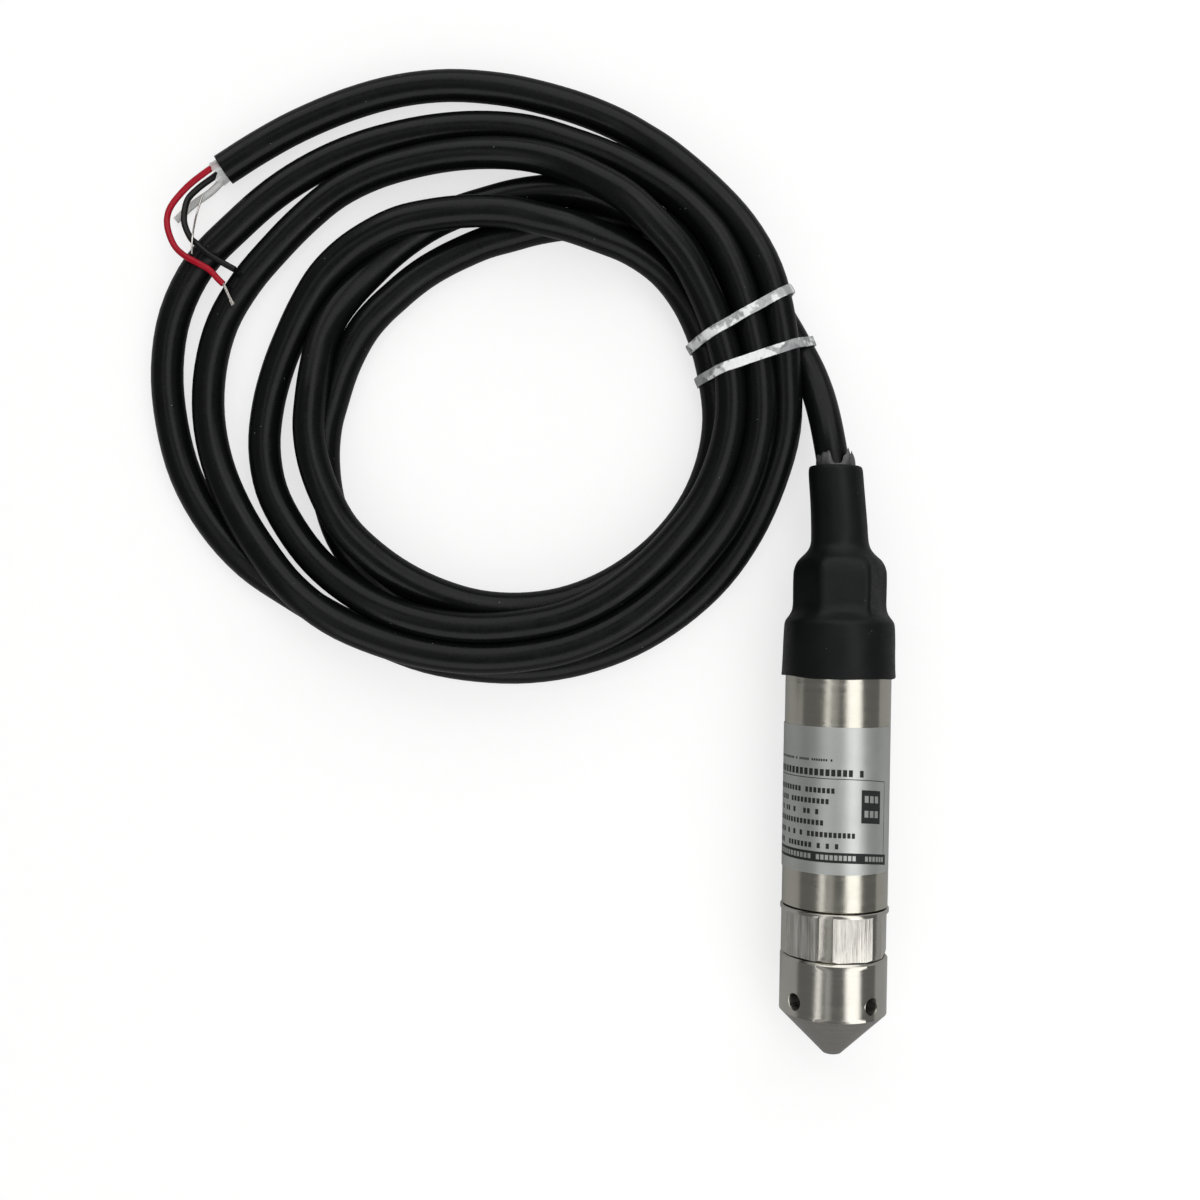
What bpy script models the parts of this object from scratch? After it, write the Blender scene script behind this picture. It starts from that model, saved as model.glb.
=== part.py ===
# Submersible level transmitter: a steel probe lying on its side with its cable coiled behind it.
# Units are metres, +Z is up. The probe's axis runs along Y, nose towards -Y, and z = 0 is the table.

import math

import bmesh
import bpy
from mathutils import Matrix, Vector

MM = 0.001

# Clearances between neighbours
FIT = 0.3 * MM
SEAL_FIT = 0.2 * MM
SKIN_GAP = 0.08 * MM
CABLE_GRIP = 0.2 * MM

# Nose cap: a hollow cap with a cone end, screwed over the sensor housing
CAP_LENGTH = 26.0 * MM
CAP_STEP = 0.2 * MM
CONE_LENGTH = 11.4 * MM
TIP_RADIUS = 2.3 * MM
TIP_ROUND = 0.6 * MM
CAP_CHAMFER = 0.5 * MM
CAP_THREAD_LENGTH = 7.3 * MM
CAP_THREAD_WALL = 1.65 * MM
CHAMBER_RADIUS = 10.2 * MM
CHAMBER_NOSE_RADIUS = 4.0 * MM
CHAMBER_NOSE_WALL = 7.0 * MM
CHAMBER_CONE_LENGTH = 6.1 * MM
PORT_RADIUS = 2.0 * MM
PORT_SINK_RADIUS = 2.4 * MM
PORT_SINK_DEPTH = 0.8 * MM
PORT_HEIGHT = 15.1 * MM
PORT_COUNT = 4
PORT_TURN = math.radians(35.5)

# Sensor housing: the turned ring with six spanner flats, with a spigot at each end
FLANGE_LENGTH = 12.15 * MM
FLANGE_STEP = 0.35 * MM
FLANGE_CHAMFER = 0.5 * MM
FLATS_DEPTH = 1.05 * MM
FLATS_RIDGE = 1.05 * MM
FLATS_TURN = math.radians(12.0)
FRONT_SPIGOT_LENGTH = 7.4 * MM
THREAD_RELIEF = 0.5 * MM
THREAD_RELIEF_LENGTH = 1.6 * MM
REAR_SPIGOT_LENGTH = 8.0 * MM
LIP_LENGTH = 1.3 * MM
LIP_RADIUS = 8.6 * MM

# Pressure capsule inside the housing
CAPSULE_RADIUS = 9.5 * MM
CAPSULE_LENGTH = 11.0 * MM
CAPSULE_GROOVE_DEPTH = 1.6 * MM
CAPSULE_RING_WIRE = 0.7 * MM
DIAPHRAGM_THICKNESS = 0.3 * MM
DIAPHRAGM_RIPPLE = 0.12 * MM
DIAPHRAGM_RIPPLES = 4
CAPSULE_NUT_LENGTH = 5.0 * MM
CAPSULE_NUT_HOLE = 6.2 * MM
CAPSULE_NUT_SLOT = 2.0 * MM
PIN_RADIUS = 0.45 * MM
PIN_LENGTH = 6.5 * MM
PIN_CIRCLE = 4.0 * MM
PIN_COUNT = 4
CAPILLARY_RADIUS = 0.75 * MM
CAPILLARY_BORE = 0.4 * MM
CAPILLARY_LENGTH = 9.0 * MM

# Body tube and its label
TUBE_RADIUS = 13.5 * MM
TUBE_WALL = 1.25 * MM
TUBE_LENGTH = 67.3 * MM
LABEL_THICKNESS = 0.12 * MM
LABEL_START = 8.6 * MM
LABEL_LENGTH = 37.7 * MM
LABEL_SWEEP = math.radians(270.0)
LABEL_EDGE = math.radians(67.5)

# Circuit board on two holders in the tube
BOARD_WIDTH = 20.6 * MM
BOARD_THICKNESS = 1.6 * MM
BOARD_SINK = 2.0 * MM
BOARD_START = 11.5 * MM
BOARD_LENGTH = 36.4 * MM
HOLDER_THICKNESS = 3.0 * MM
HOLDER_WINDOW_WIDTH = 13.0 * MM
HOLDER_WINDOW_HEIGHT = 7.0 * MM
CHIP_SIZE = (8.0 * MM, 1.6 * MM, 6.0 * MM)
REGULATOR_SIZE = (5.0 * MM, 2.2 * MM, 4.5 * MM)
CAPACITOR_RADIUS = 2.5 * MM
CAPACITOR_HEIGHT = 7.0 * MM
ARRESTER_RADIUS = 2.8 * MM
ARRESTER_LENGTH = 7.5 * MM
# Places on the board: across it, and along it from its front edge
CHIP_PLACE = (-3.0 * MM, 13.0 * MM)
REGULATOR_PLACE = (5.0 * MM, 13.5 * MM)
CAPACITOR_PLACE = (5.5 * MM, 21.0 * MM)
ARRESTER_PLACE = (-4.0 * MM, 22.0 * MM)
LEAD_WIRE_RADIUS = 0.4 * MM
LEAD_PITCH = 2.6 * MM

# Cable head that closes the tube, and the gland on its neck
HEAD_SPIGOT_LENGTH = 8.7 * MM
HEAD_FLANGE_LENGTH = 3.2 * MM
HEAD_MOUTH_RADIUS = 8.0 * MM
HEAD_MOUTH_DEPTH = 3.6 * MM
NECK_RADIUS = 8.5 * MM
NECK_LENGTH = 15.9 * MM
SEAL_RADIUS = 6.6 * MM
SEAL_LENGTH = 7.3 * MM
WASHER_THICKNESS = 1.1 * MM
NUT_ACROSS = 19.5 * MM
NUT_STANDOFF = 2.1 * MM
NUT_WALL = 3.4 * MM
NUT_CHAMFER = 1.9 * MM
NUT_FRONT_CHAMFER = 0.6 * MM

# O-rings between the tube and the spigots in its ends
TUBE_RING_WIRE = 0.6 * MM
TUBE_RING_INSET = 3.6 * MM

# Heat-shrink sleeve over the tube's end, the nut and the cable
SLEEVE_OVERLAP = 8.95 * MM
SLEEVE_WALL = 0.5 * MM
SLEEVE_NECK_WALL = 0.85 * MM
SLEEVE_NECK_RADIUS = 7.1 * MM
SLEEVE_NECK_LENGTH = 18.0 * MM
SLEEVE_SLOPE = 4.7 * MM
SLEEVE_FOLD = 4.2 * MM
SLEEVE_SHOULDER_DROP = 0.5 * MM
SLEEVE_NUT_DROP = 1.3 * MM
SLEEVE_FOLD_DROP = 0.35 * MM
SLEEVE_MOUTH_RADIUS = 5.95 * MM
ADHESIVE_LIP = 2.9 * MM

# Cable and the lines in it
CABLE_RADIUS = 4.2 * MM
CABLE_INSET = 3.35 * MM
CORE_RADIUS = 0.83 * MM
VENT_RADIUS = 0.95 * MM
DRAIN_RADIUS = 0.25 * MM
STRAND_RADIUS = 0.45 * MM

# Coil: two layers of turns lying on the table round one off-centre opening
COIL_CENTRE = (-95.6 * MM, 93.0 * MM)
COIL_HALF_WIDTHS = (86.4 * MM, 74.9 * MM)
COIL_LAYER = 8.6 * MM
UPPER_CENTRE = (-78.9 * MM, 92.7 * MM)
UPPER_HALF_WIDTHS = (63.0 * MM, 67.0 * MM)
COIL_HEIGHT = 19.4 * MM
OPENING_CENTRE = (-82.9 * MM, 84.1 * MM)
OPENING_HALF_WIDTHS = (46.8 * MM, 41.8 * MM)
COIL_ROUND = 2.5 * MM

# Tie bands round the coil
TIE_WIDTH = 2.5 * MM
TIE_THICKNESS = 0.6 * MM
TIE_CORNER = 1.6 * MM
TIE_FAN_POINT = (-82.9 * MM, 81.1 * MM)
TIE_ANGLES = {"tie_lower": math.radians(20.4), "tie_upper": math.radians(30.4)}
TIE_HEAD_SIZE = (4.8 * MM, 4.4 * MM, 2.8 * MM)
TIE_HEAD_PLACE = 9.0 * MM

# Routes of the cable's free stretches and of the lines at its cut end, chosen by hand.
# The lead starts at the sleeve's mouth; its straight part inside follows from the sizes above.
LEAD_ROUTE = [
    (0.0, 80.6, 14.3), (-0.4, 84.2, 13.9), (-1.5, 87.9, 12.6), (-2.8, 91.6, 10.6),
    (-4.0, 95.4, 8.4), (-4.8, 99.0, 6.5), (-5.1, 101.6, 5.6),
]
TAIL_ROUTE = [
    (-54.4, 164.0, 4.2), (-59.4, 166.6, 4.2), (-69.5, 170.4, 4.2), (-80.4, 173.4, 4.2),
    (-90.9, 175.3, 4.2), (-104.2, 176.0, 4.2), (-117.5, 174.4, 4.2), (-130.8, 170.5, 4.2),
    (-144.2, 164.6, 4.2), (-154.7, 158.6, 4.2), (-163.9, 152.5, 4.2),
]
RED_ROUTE = [
    (-165.2, 153.4, 5.5), (-169.4, 150.6, 5.5), (-173.4, 147.2, 5.4), (-176.9, 142.7, 5.7),
    (-178.0, 139.1, 6.2), (-177.4, 135.3, 7.0), (-175.2, 131.0, 8.4), (-172.0, 128.1, 10.2),
    (-168.4, 126.1, 11.2), (-165.3, 124.4, 11.0), (-163.1, 122.1, 10.4), (-161.8, 120.9, 10.2),
]
STRAND_ROUTE = [(-161.5, 120.4, 10.2), (-160.4, 118.0, 9.9), (-159.3, 115.6, 9.6)]
BLACK_ROUTE = [
    (-165.0, 152.8, 2.7), (-167.3, 150.6, 3.0), (-170.4, 147.7, 4.0), (-172.9, 144.6, 4.8),
    (-173.6, 141.2, 5.6), (-173.3, 137.5, 6.6), (-171.2, 133.4, 8.4), (-169.0, 131.4, 9.4),
    (-166.0, 128.8, 10.0), (-163.2, 127.1, 10.0), (-160.8, 125.8, 9.9), (-158.9, 124.8, 9.9),
]
VENT_ROUTE = [(-163.5, 150.7, 4.2), (-167.6, 147.4, 1.9), (-172.7, 143.9, 1.3), (-177.2, 139.6, 1.3)]
DRAIN_ROUTE = [
    (-169.7, 145.9, 3.1), (-170.2, 143.6, 3.6), (-170.6, 140.1, 5.2), (-170.3, 136.6, 8.0),
    (-170.0, 133.4, 10.3), (-169.9, 130.6, 11.1), (-169.8, 128.3, 11.3),
]

# Round pieces are divided finely where they are large and seen
RIM_STEPS = 48
INNER_STEPS = 24
RING_WIRE_STEPS = 6

# Stations along the axis, measured from the nose tip
CAP_RIM = CAP_LENGTH
FLANGE_FRONT = CAP_RIM + FIT
FLANGE_REAR = FLANGE_FRONT + FLANGE_LENGTH
TUBE_FRONT = FLANGE_REAR + FIT
TUBE_REAR = TUBE_FRONT + TUBE_LENGTH
HEAD_FRONT = TUBE_REAR + FIT
NECK_START = HEAD_FRONT + HEAD_FLANGE_LENGTH
NECK_END = NECK_START + NECK_LENGTH
WASHER_START = NECK_END + FIT
NUT_START = NECK_START + FIT + NUT_STANDOFF
NUT_INNER_END = WASHER_START + WASHER_THICKNESS + FIT
NUT_END = NUT_INNER_END + NUT_WALL
CAPSULE_START = FLANGE_FRONT - FRONT_SPIGOT_LENGTH + LIP_LENGTH + FIT
CAPSULE_END = CAPSULE_START + CAPSULE_LENGTH
SPIGOT_TIP = FLANGE_REAR + REAR_SPIGOT_LENGTH
BOARD_FRONT = TUBE_FRONT + BOARD_START
BOARD_REAR = BOARD_FRONT + BOARD_LENGTH
CABLE_FRONT = TUBE_REAR - CABLE_INSET
SLEEVE_MOUTH = NUT_END + SLEEVE_SLOPE - NUT_CHAMFER + SLEEVE_NECK_LENGTH
ADHESIVE_END = SLEEVE_MOUTH + ADHESIVE_LIP

# Radii that follow from their neighbours
CAP_RADIUS = TUBE_RADIUS + CAP_STEP
FLANGE_RADIUS = TUBE_RADIUS + FLANGE_STEP
FLATS_ACROSS = 2.0 * (FLANGE_RADIUS - FLATS_DEPTH)
CAP_BORE = CAP_RADIUS - CAP_THREAD_WALL
FRONT_SPIGOT_RADIUS = CAP_BORE - FIT
TUBE_BORE = TUBE_RADIUS - TUBE_WALL
REAR_SPIGOT_RADIUS = TUBE_BORE - FIT
CAPSULE_BORE = CAPSULE_RADIUS + FIT
CABLE_BORE = CABLE_RADIUS + FIT
NUT_CORNER = NUT_ACROSS / math.sqrt(3.0)
NUT_BORE = NECK_RADIUS + FIT
SLEEVE_BORE = TUBE_RADIUS + FIT
SLEEVE_RADIUS = SLEEVE_BORE + SLEEVE_WALL
AXIS_HEIGHT = SLEEVE_RADIUS
TIE_GAP = FIT


def clear_scene():
    for old in list(bpy.data.objects):
        bpy.data.objects.remove(old, do_unlink=True)


def new_collection(name):
    collection = bpy.data.collections.new(name)
    bpy.context.scene.collection.children.link(collection)
    return collection


def make_material(name, colour, roughness, metallic=0.0):
    material = bpy.data.materials.new(name)
    material.use_nodes = True
    shader = material.node_tree.nodes["Principled BSDF"]
    shader.inputs["Base Color"].default_value = (*colour, 1.0)
    shader.inputs["Roughness"].default_value = roughness
    shader.inputs["Metallic"].default_value = metallic
    return material


clear_scene()
PARTS = new_collection("level_transmitter")
CUTTERS = new_collection("cutters")

TURNED_STEEL = make_material("turned_steel", (0.62, 0.61, 0.59), 0.28, 1.0)
CAPSULE_STEEL = make_material("capsule_steel", (0.70, 0.69, 0.67), 0.2, 1.0)
NUT_BRASS = make_material("nickel_brass", (0.66, 0.62, 0.50), 0.3, 1.0)
LABEL_FOIL = make_material("label_foil", (0.55, 0.55, 0.55), 0.45, 0.6)
SEAL_RUBBER = make_material("seal_rubber", (0.02, 0.02, 0.02), 0.7)
SHRINK_BLACK = make_material("shrink_tube", (0.012, 0.012, 0.013), 0.5)
CABLE_BLACK = make_material("cable_jacket", (0.014, 0.014, 0.015), 0.42)
HOT_MELT = make_material("hot_melt", (0.22, 0.22, 0.21), 0.35)
TIE_PLASTIC = make_material("tie_plastic", (0.75, 0.76, 0.76), 0.35)
BOARD_GREEN = make_material("board", (0.02, 0.16, 0.07), 0.45)
CHIP_BLACK = make_material("chip_package", (0.02, 0.02, 0.02), 0.5)
CERAMIC_WHITE = make_material("arrester_ceramic", (0.75, 0.72, 0.66), 0.3)
CARRIER_PLASTIC = make_material("carrier_plastic", (0.5, 0.5, 0.48), 0.5)
PIN_GOLD = make_material("pin_gold", (0.83, 0.61, 0.25), 0.25, 1.0)
CORE_RED = make_material("core_red", (0.45, 0.01, 0.03), 0.4)
CORE_BLACK = make_material("core_black", (0.01, 0.01, 0.01), 0.4)
VENT_GREY = make_material("vent_tube", (0.6, 0.6, 0.58), 0.3)
TINNED_COPPER = make_material("tinned_copper", (0.7, 0.68, 0.66), 0.3, 1.0)


def probe_frame():
    """The empty that carries the probe: its local +Z is the axis from the tip to the cable."""
    empty = bpy.data.objects.new("probe_axis", None)
    PARTS.objects.link(empty)
    empty.rotation_euler = (math.radians(-90.0), 0.0, 0.0)
    empty.location = (0.0, -SLEEVE_MOUTH / 2.0, AXIS_HEIGHT)
    return empty


AXIS = probe_frame()


def upward(angle):
    """Direction in the probe's cross-section at this angle from straight up, towards +X."""
    return Vector((math.sin(angle), -math.cos(angle), 0.0))


def add_object(name, data, material=None, collection=PARTS, parent=AXIS):
    obj = bpy.data.objects.new(name, data)
    collection.objects.link(obj)
    obj.parent = parent
    if material:
        obj.data.materials.append(material)
    if collection is CUTTERS:
        obj.hide_render = True
        obj.display_type = "WIRE"
    return obj


def turned(name, outline, material, steps=RIM_STEPS, sweep=2.0 * math.pi, closed=True, **place):
    """A turned piece. The outline's (radius, station) points run down its outer side, then back."""
    mesh = bpy.data.meshes.new(name)
    points = [(radius, 0.0, station) for radius, station in outline]
    edges = [(i, i + 1) for i in range(len(points) - 1)]
    if closed:
        edges.append((len(points) - 1, 0))
    mesh.from_pydata(points, edges, [])
    obj = add_object(name, mesh, material, **place)
    screw = obj.modifiers.new("turn", "SCREW")
    screw.axis = "Z"
    screw.angle = sweep
    screw.steps = steps
    screw.render_steps = steps
    screw.use_merge_vertices = sweep > 6.28
    screw.merge_threshold = 0.00001
    screw.use_smooth_shade = True
    return obj


def modify(obj, other, operation="DIFFERENCE"):
    boolean = obj.modifiers.new(operation.lower(), "BOOLEAN")
    boolean.operation = operation
    boolean.solver = "EXACT"
    boolean.object = other


def box_mesh(name, size, places):
    """One mesh of equal boxes, each put in place by its own matrix."""
    mesh = bpy.data.meshes.new(name)
    shape = bmesh.new()
    for place in places:
        bmesh.ops.create_cube(shape, size=1.0, matrix=place @ Matrix.Diagonal((*size, 1.0)))
    shape.to_mesh(mesh)
    shape.free()
    return mesh


def rod_mesh(name, radius, end_radius, length, places, sides=INNER_STEPS):
    """One mesh of equal rods or cones along each place's Z, centred there."""
    mesh = bpy.data.meshes.new(name)
    shape = bmesh.new()
    for place in places:
        bmesh.ops.create_cone(
            shape, cap_ends=True, segments=sides, radius1=radius, radius2=end_radius,
            depth=length, matrix=place,
        )
    shape.to_mesh(mesh)
    shape.free()
    return mesh


def smooth_route(points, step):
    """Points a step apart on the Catmull-Rom curve through the given points."""
    knots = [Vector(p) for p in points]
    knots.insert(0, knots[0] * 2.0 - knots[1])
    knots.append(knots[-1] * 2.0 - knots[-2])
    fine = []
    parts = 24
    for a, b, c, d in zip(knots, knots[1:], knots[2:], knots[3:]):
        for i in range(parts):
            t = i / parts
            fine.append(
                0.5 * (2.0 * b + (c - a) * t + (2.0 * a - 5.0 * b + 4.0 * c - d) * t ** 2
                       + (3.0 * b - a - 3.0 * c + d) * t ** 3)
            )
    fine.append(knots[-2].copy())
    length = sum((q - p).length for p, q in zip(fine, fine[1:]))
    count = max(2, round(length / step))
    spacing = length / count
    route = [fine[0]]
    walked = 0.0
    for p, q in zip(fine, fine[1:]):
        run = (q - p).length
        while len(route) < count and walked + run >= spacing * len(route):
            route.append(p.lerp(q, (spacing * len(route) - walked) / run))
        walked += run
    route.append(fine[-1])
    return route


def tube_along(name, points, radius, material, step, sides=2, parent=AXIS):
    """A wire, tube or cord along a smooth curve through the points."""
    curve = bpy.data.curves.new(name, "CURVE")
    curve.dimensions = "3D"
    curve.bevel_depth = radius
    curve.bevel_resolution = sides
    curve.use_fill_caps = True
    route = smooth_route(points, step)
    spline = curve.splines.new("POLY")
    spline.points.add(len(route) - 1)
    for point, place in zip(spline.points, route):
        point.co = (*place, 1.0)
    return add_object(name, curve, material, parent=parent)


def ring_outline(centre_radius, station, wire_radius):
    """The round section of an O-ring, running down its outer side first."""
    outline = []
    for i in range(RING_WIRE_STEPS):
        angle = math.pi / 2.0 - 2.0 * math.pi * (i + 0.5) / RING_WIRE_STEPS
        outline.append(
            (centre_radius + wire_radius * math.cos(angle), station + wire_radius * math.sin(angle))
        )
    return outline


def nose_cap():
    chamber_top = CAP_RIM - CAP_THREAD_LENGTH
    cap = turned("nose_cap", [
        (CAP_BORE + CAP_CHAMFER / 2.0, CAP_RIM),
        (CAP_RADIUS - CAP_CHAMFER, CAP_RIM),
        (CAP_RADIUS, CAP_RIM - CAP_CHAMFER),
        (CAP_RADIUS, CONE_LENGTH),
        (TIP_RADIUS + TIP_ROUND * 0.6, TIP_ROUND),
        (TIP_RADIUS - TIP_ROUND * 0.4, 0.0),
        (0.0, 0.0),
        (0.0, CHAMBER_NOSE_WALL),
        (CHAMBER_NOSE_RADIUS, CHAMBER_NOSE_WALL),
        (CHAMBER_RADIUS, CHAMBER_NOSE_WALL + CHAMBER_CONE_LENGTH),
        (CHAMBER_RADIUS, chamber_top),
        (CAP_BORE, chamber_top),
        (CAP_BORE, CAP_RIM - CAP_CHAMFER / 2.0),
    ], TURNED_STEEL)
    holes = []
    sinks = []
    reach = (CAP_RADIUS + CHAMBER_RADIUS) / 2.0
    for i in range(PORT_COUNT):
        angle = PORT_TURN + 2.0 * math.pi * i / PORT_COUNT
        out = upward(angle)
        turn = Vector((0.0, 0.0, 1.0)).rotation_difference(out).to_matrix().to_4x4()
        height = Vector((0.0, 0.0, PORT_HEIGHT))
        holes.append(Matrix.Translation(out * reach + height) @ turn)
        sinks.append(Matrix.Translation(out * CAP_RADIUS + height) @ turn)
    wall = CAP_RADIUS - CHAMBER_RADIUS
    ports = rod_mesh("cap_ports", PORT_RADIUS, PORT_RADIUS, 3.0 * wall, holes, 16)
    modify(cap, add_object("cap_ports", ports, collection=CUTTERS))
    spread = (PORT_SINK_RADIUS - PORT_RADIUS) / 2.0
    rims = rod_mesh("cap_port_sinks", PORT_RADIUS - spread, PORT_SINK_RADIUS + spread,
                    2.0 * PORT_SINK_DEPTH, sinks, 16)
    modify(cap, add_object("cap_port_sinks", rims, collection=CUTTERS))


def sensor_housing():
    spigot_front = FLANGE_FRONT - FRONT_SPIGOT_LENGTH
    relief = FRONT_SPIGOT_RADIUS - THREAD_RELIEF
    groove_bottom = REAR_SPIGOT_RADIUS + FIT - SEAL_FIT - 2.0 * TUBE_RING_WIRE - SEAL_FIT
    groove_half = TUBE_RING_WIRE + SEAL_FIT
    groove = FLANGE_REAR + TUBE_RING_INSET
    housing = turned("sensor_housing", [
        (CAPSULE_BORE, SPIGOT_TIP),
        (REAR_SPIGOT_RADIUS, SPIGOT_TIP),
        (REAR_SPIGOT_RADIUS, groove + groove_half),
        (groove_bottom, groove + groove_half),
        (groove_bottom, groove - groove_half),
        (REAR_SPIGOT_RADIUS, groove - groove_half),
        (REAR_SPIGOT_RADIUS, FLANGE_REAR),
        (FLANGE_RADIUS - FLANGE_CHAMFER / 2.0, FLANGE_REAR),
        (FLANGE_RADIUS, FLANGE_REAR - FLANGE_CHAMFER / 2.0),
        (FLANGE_RADIUS, FLANGE_FRONT + FLANGE_CHAMFER),
        (FLANGE_RADIUS - FLANGE_CHAMFER, FLANGE_FRONT),
        (relief, FLANGE_FRONT),
        (relief, FLANGE_FRONT - THREAD_RELIEF_LENGTH),
        (FRONT_SPIGOT_RADIUS, FLANGE_FRONT - THREAD_RELIEF_LENGTH - THREAD_RELIEF),
        (FRONT_SPIGOT_RADIUS, spigot_front + THREAD_RELIEF),
        (FRONT_SPIGOT_RADIUS - THREAD_RELIEF, spigot_front),
        (LIP_RADIUS, spigot_front),
        (LIP_RADIUS, spigot_front + LIP_LENGTH),
        (CAPSULE_BORE, spigot_front + LIP_LENGTH),
    ], TURNED_STEEL)
    depth = 4.0 * MM
    length = FLANGE_LENGTH - FLATS_RIDGE + depth
    middle = FLANGE_REAR - FLATS_RIDGE - length / 2.0
    places = []
    for i in range(6):
        angle = FLATS_TURN + math.pi * i / 3.0
        out = upward(angle) * (FLATS_ACROSS / 2.0 + depth / 2.0)
        turn = Matrix.Rotation(math.atan2(out.y, out.x), 4, "Z")
        places.append(Matrix.Translation(out + Vector((0.0, 0.0, middle))) @ turn)
    # The boxes stay beyond the spigot's radius, so only the flange is cut.
    flats = box_mesh("housing_flats", (depth, FLATS_ACROSS * 0.54, length), places)
    modify(housing, add_object("housing_flats", flats, collection=CUTTERS))


def capsule():
    groove_half = CAPSULE_RING_WIRE + SEAL_FIT
    middle = CAPSULE_START + CAPSULE_LENGTH * 0.45
    bottom = CAPSULE_RADIUS - CAPSULE_GROOVE_DEPTH
    turned("pressure_capsule", [
        (0.0, CAPSULE_END),
        (CAPSULE_RADIUS - FIT, CAPSULE_END),
        (CAPSULE_RADIUS, CAPSULE_END - FIT),
        (CAPSULE_RADIUS, middle + groove_half),
        (bottom, middle + groove_half),
        (bottom, middle - groove_half),
        (CAPSULE_RADIUS, middle - groove_half),
        (CAPSULE_RADIUS, CAPSULE_START),
        (0.0, CAPSULE_START),
    ], CAPSULE_STEEL, steps=RIM_STEPS // 2, closed=False)
    ring_radius = (bottom + CAPSULE_BORE) / 2.0
    turned("capsule_o_ring", ring_outline(ring_radius, middle, CAPSULE_RING_WIRE),
           SEAL_RUBBER, steps=INNER_STEPS)
    diaphragm()
    capsule_nut()
    capsule_pins()
    top = CAPSULE_END + FIT
    turned("capsule_vent", [
        (CAPILLARY_BORE, top + CAPILLARY_LENGTH),
        (CAPILLARY_RADIUS, top + CAPILLARY_LENGTH),
        (CAPILLARY_RADIUS, top),
        (CAPILLARY_BORE, top),
    ], CAPSULE_STEEL, steps=10)


def diaphragm():
    back = CAPSULE_START - FIT
    radius = LIP_RADIUS - FIT
    count = 2 * DIAPHRAGM_RIPPLES
    rear = []
    for i in range(count + 1):
        lift = DIAPHRAGM_RIPPLE if i % 2 else 0.0
        rear.append((radius * i / count, back - lift))
    front = [(r, z - DIAPHRAGM_THICKNESS) for r, z in reversed(rear)]
    turned("diaphragm", rear + front, CAPSULE_STEEL, steps=INNER_STEPS, closed=False)


def capsule_nut():
    start = CAPSULE_END + FIT
    nut = turned("capsule_nut", [
        (CAPSULE_NUT_HOLE, start + CAPSULE_NUT_LENGTH),
        (CAPSULE_RADIUS, start + CAPSULE_NUT_LENGTH),
        (CAPSULE_RADIUS, start),
        (CAPSULE_NUT_HOLE, start),
    ], CAPSULE_STEEL, steps=INNER_STEPS)
    place = Matrix.Translation((0.0, 0.0, start + CAPSULE_NUT_LENGTH))
    slot = box_mesh("capsule_nut_slot",
                    (3.0 * CAPSULE_RADIUS, CAPSULE_NUT_SLOT, CAPSULE_NUT_SLOT), [place])
    modify(nut, add_object("capsule_nut_slot", slot, collection=CUTTERS))


def pin_place(i):
    angle = 2.0 * math.pi * (i + 0.5) / PIN_COUNT
    return Vector((PIN_CIRCLE * math.cos(angle), PIN_CIRCLE * math.sin(angle), 0.0))


def capsule_pins():
    start = CAPSULE_END + FIT
    for i in range(PIN_COUNT):
        middle = pin_place(i) + Vector((0.0, 0.0, start + PIN_LENGTH / 2.0))
        name = f"capsule_pin_{i + 1}"
        mesh = rod_mesh(name, PIN_RADIUS, PIN_RADIUS, PIN_LENGTH, [Matrix.Translation(middle)], 8)
        add_object(name, mesh, PIN_GOLD)


def tube_and_label():
    turned("body_tube", [
        (TUBE_BORE, TUBE_REAR),
        (TUBE_RADIUS, TUBE_REAR),
        (TUBE_RADIUS, TUBE_FRONT),
        (TUBE_BORE, TUBE_FRONT),
    ], TURNED_STEEL)
    start = TUBE_FRONT + LABEL_START
    inner = TUBE_RADIUS + SKIN_GAP
    steps = round(RIM_STEPS * LABEL_SWEEP / (2.0 * math.pi))
    label = turned("label", [(inner, start + LABEL_LENGTH), (inner, start)], LABEL_FOIL,
                   steps=steps, sweep=LABEL_SWEEP, closed=False)
    label.rotation_euler.z = LABEL_EDGE - LABEL_SWEEP - math.pi / 2.0
    solidify = label.modifiers.new("foil", "SOLIDIFY")
    solidify.thickness = LABEL_THICKNESS
    solidify.offset = 1.0
    for name, station in (
        ("tube_o_ring_front", FLANGE_REAR + TUBE_RING_INSET),
        ("tube_o_ring_rear", HEAD_FRONT - TUBE_RING_INSET),
    ):
        middle = TUBE_BORE - SEAL_FIT - TUBE_RING_WIRE
        turned(name, ring_outline(middle, station, TUBE_RING_WIRE), SEAL_RUBBER, steps=INNER_STEPS)


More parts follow.
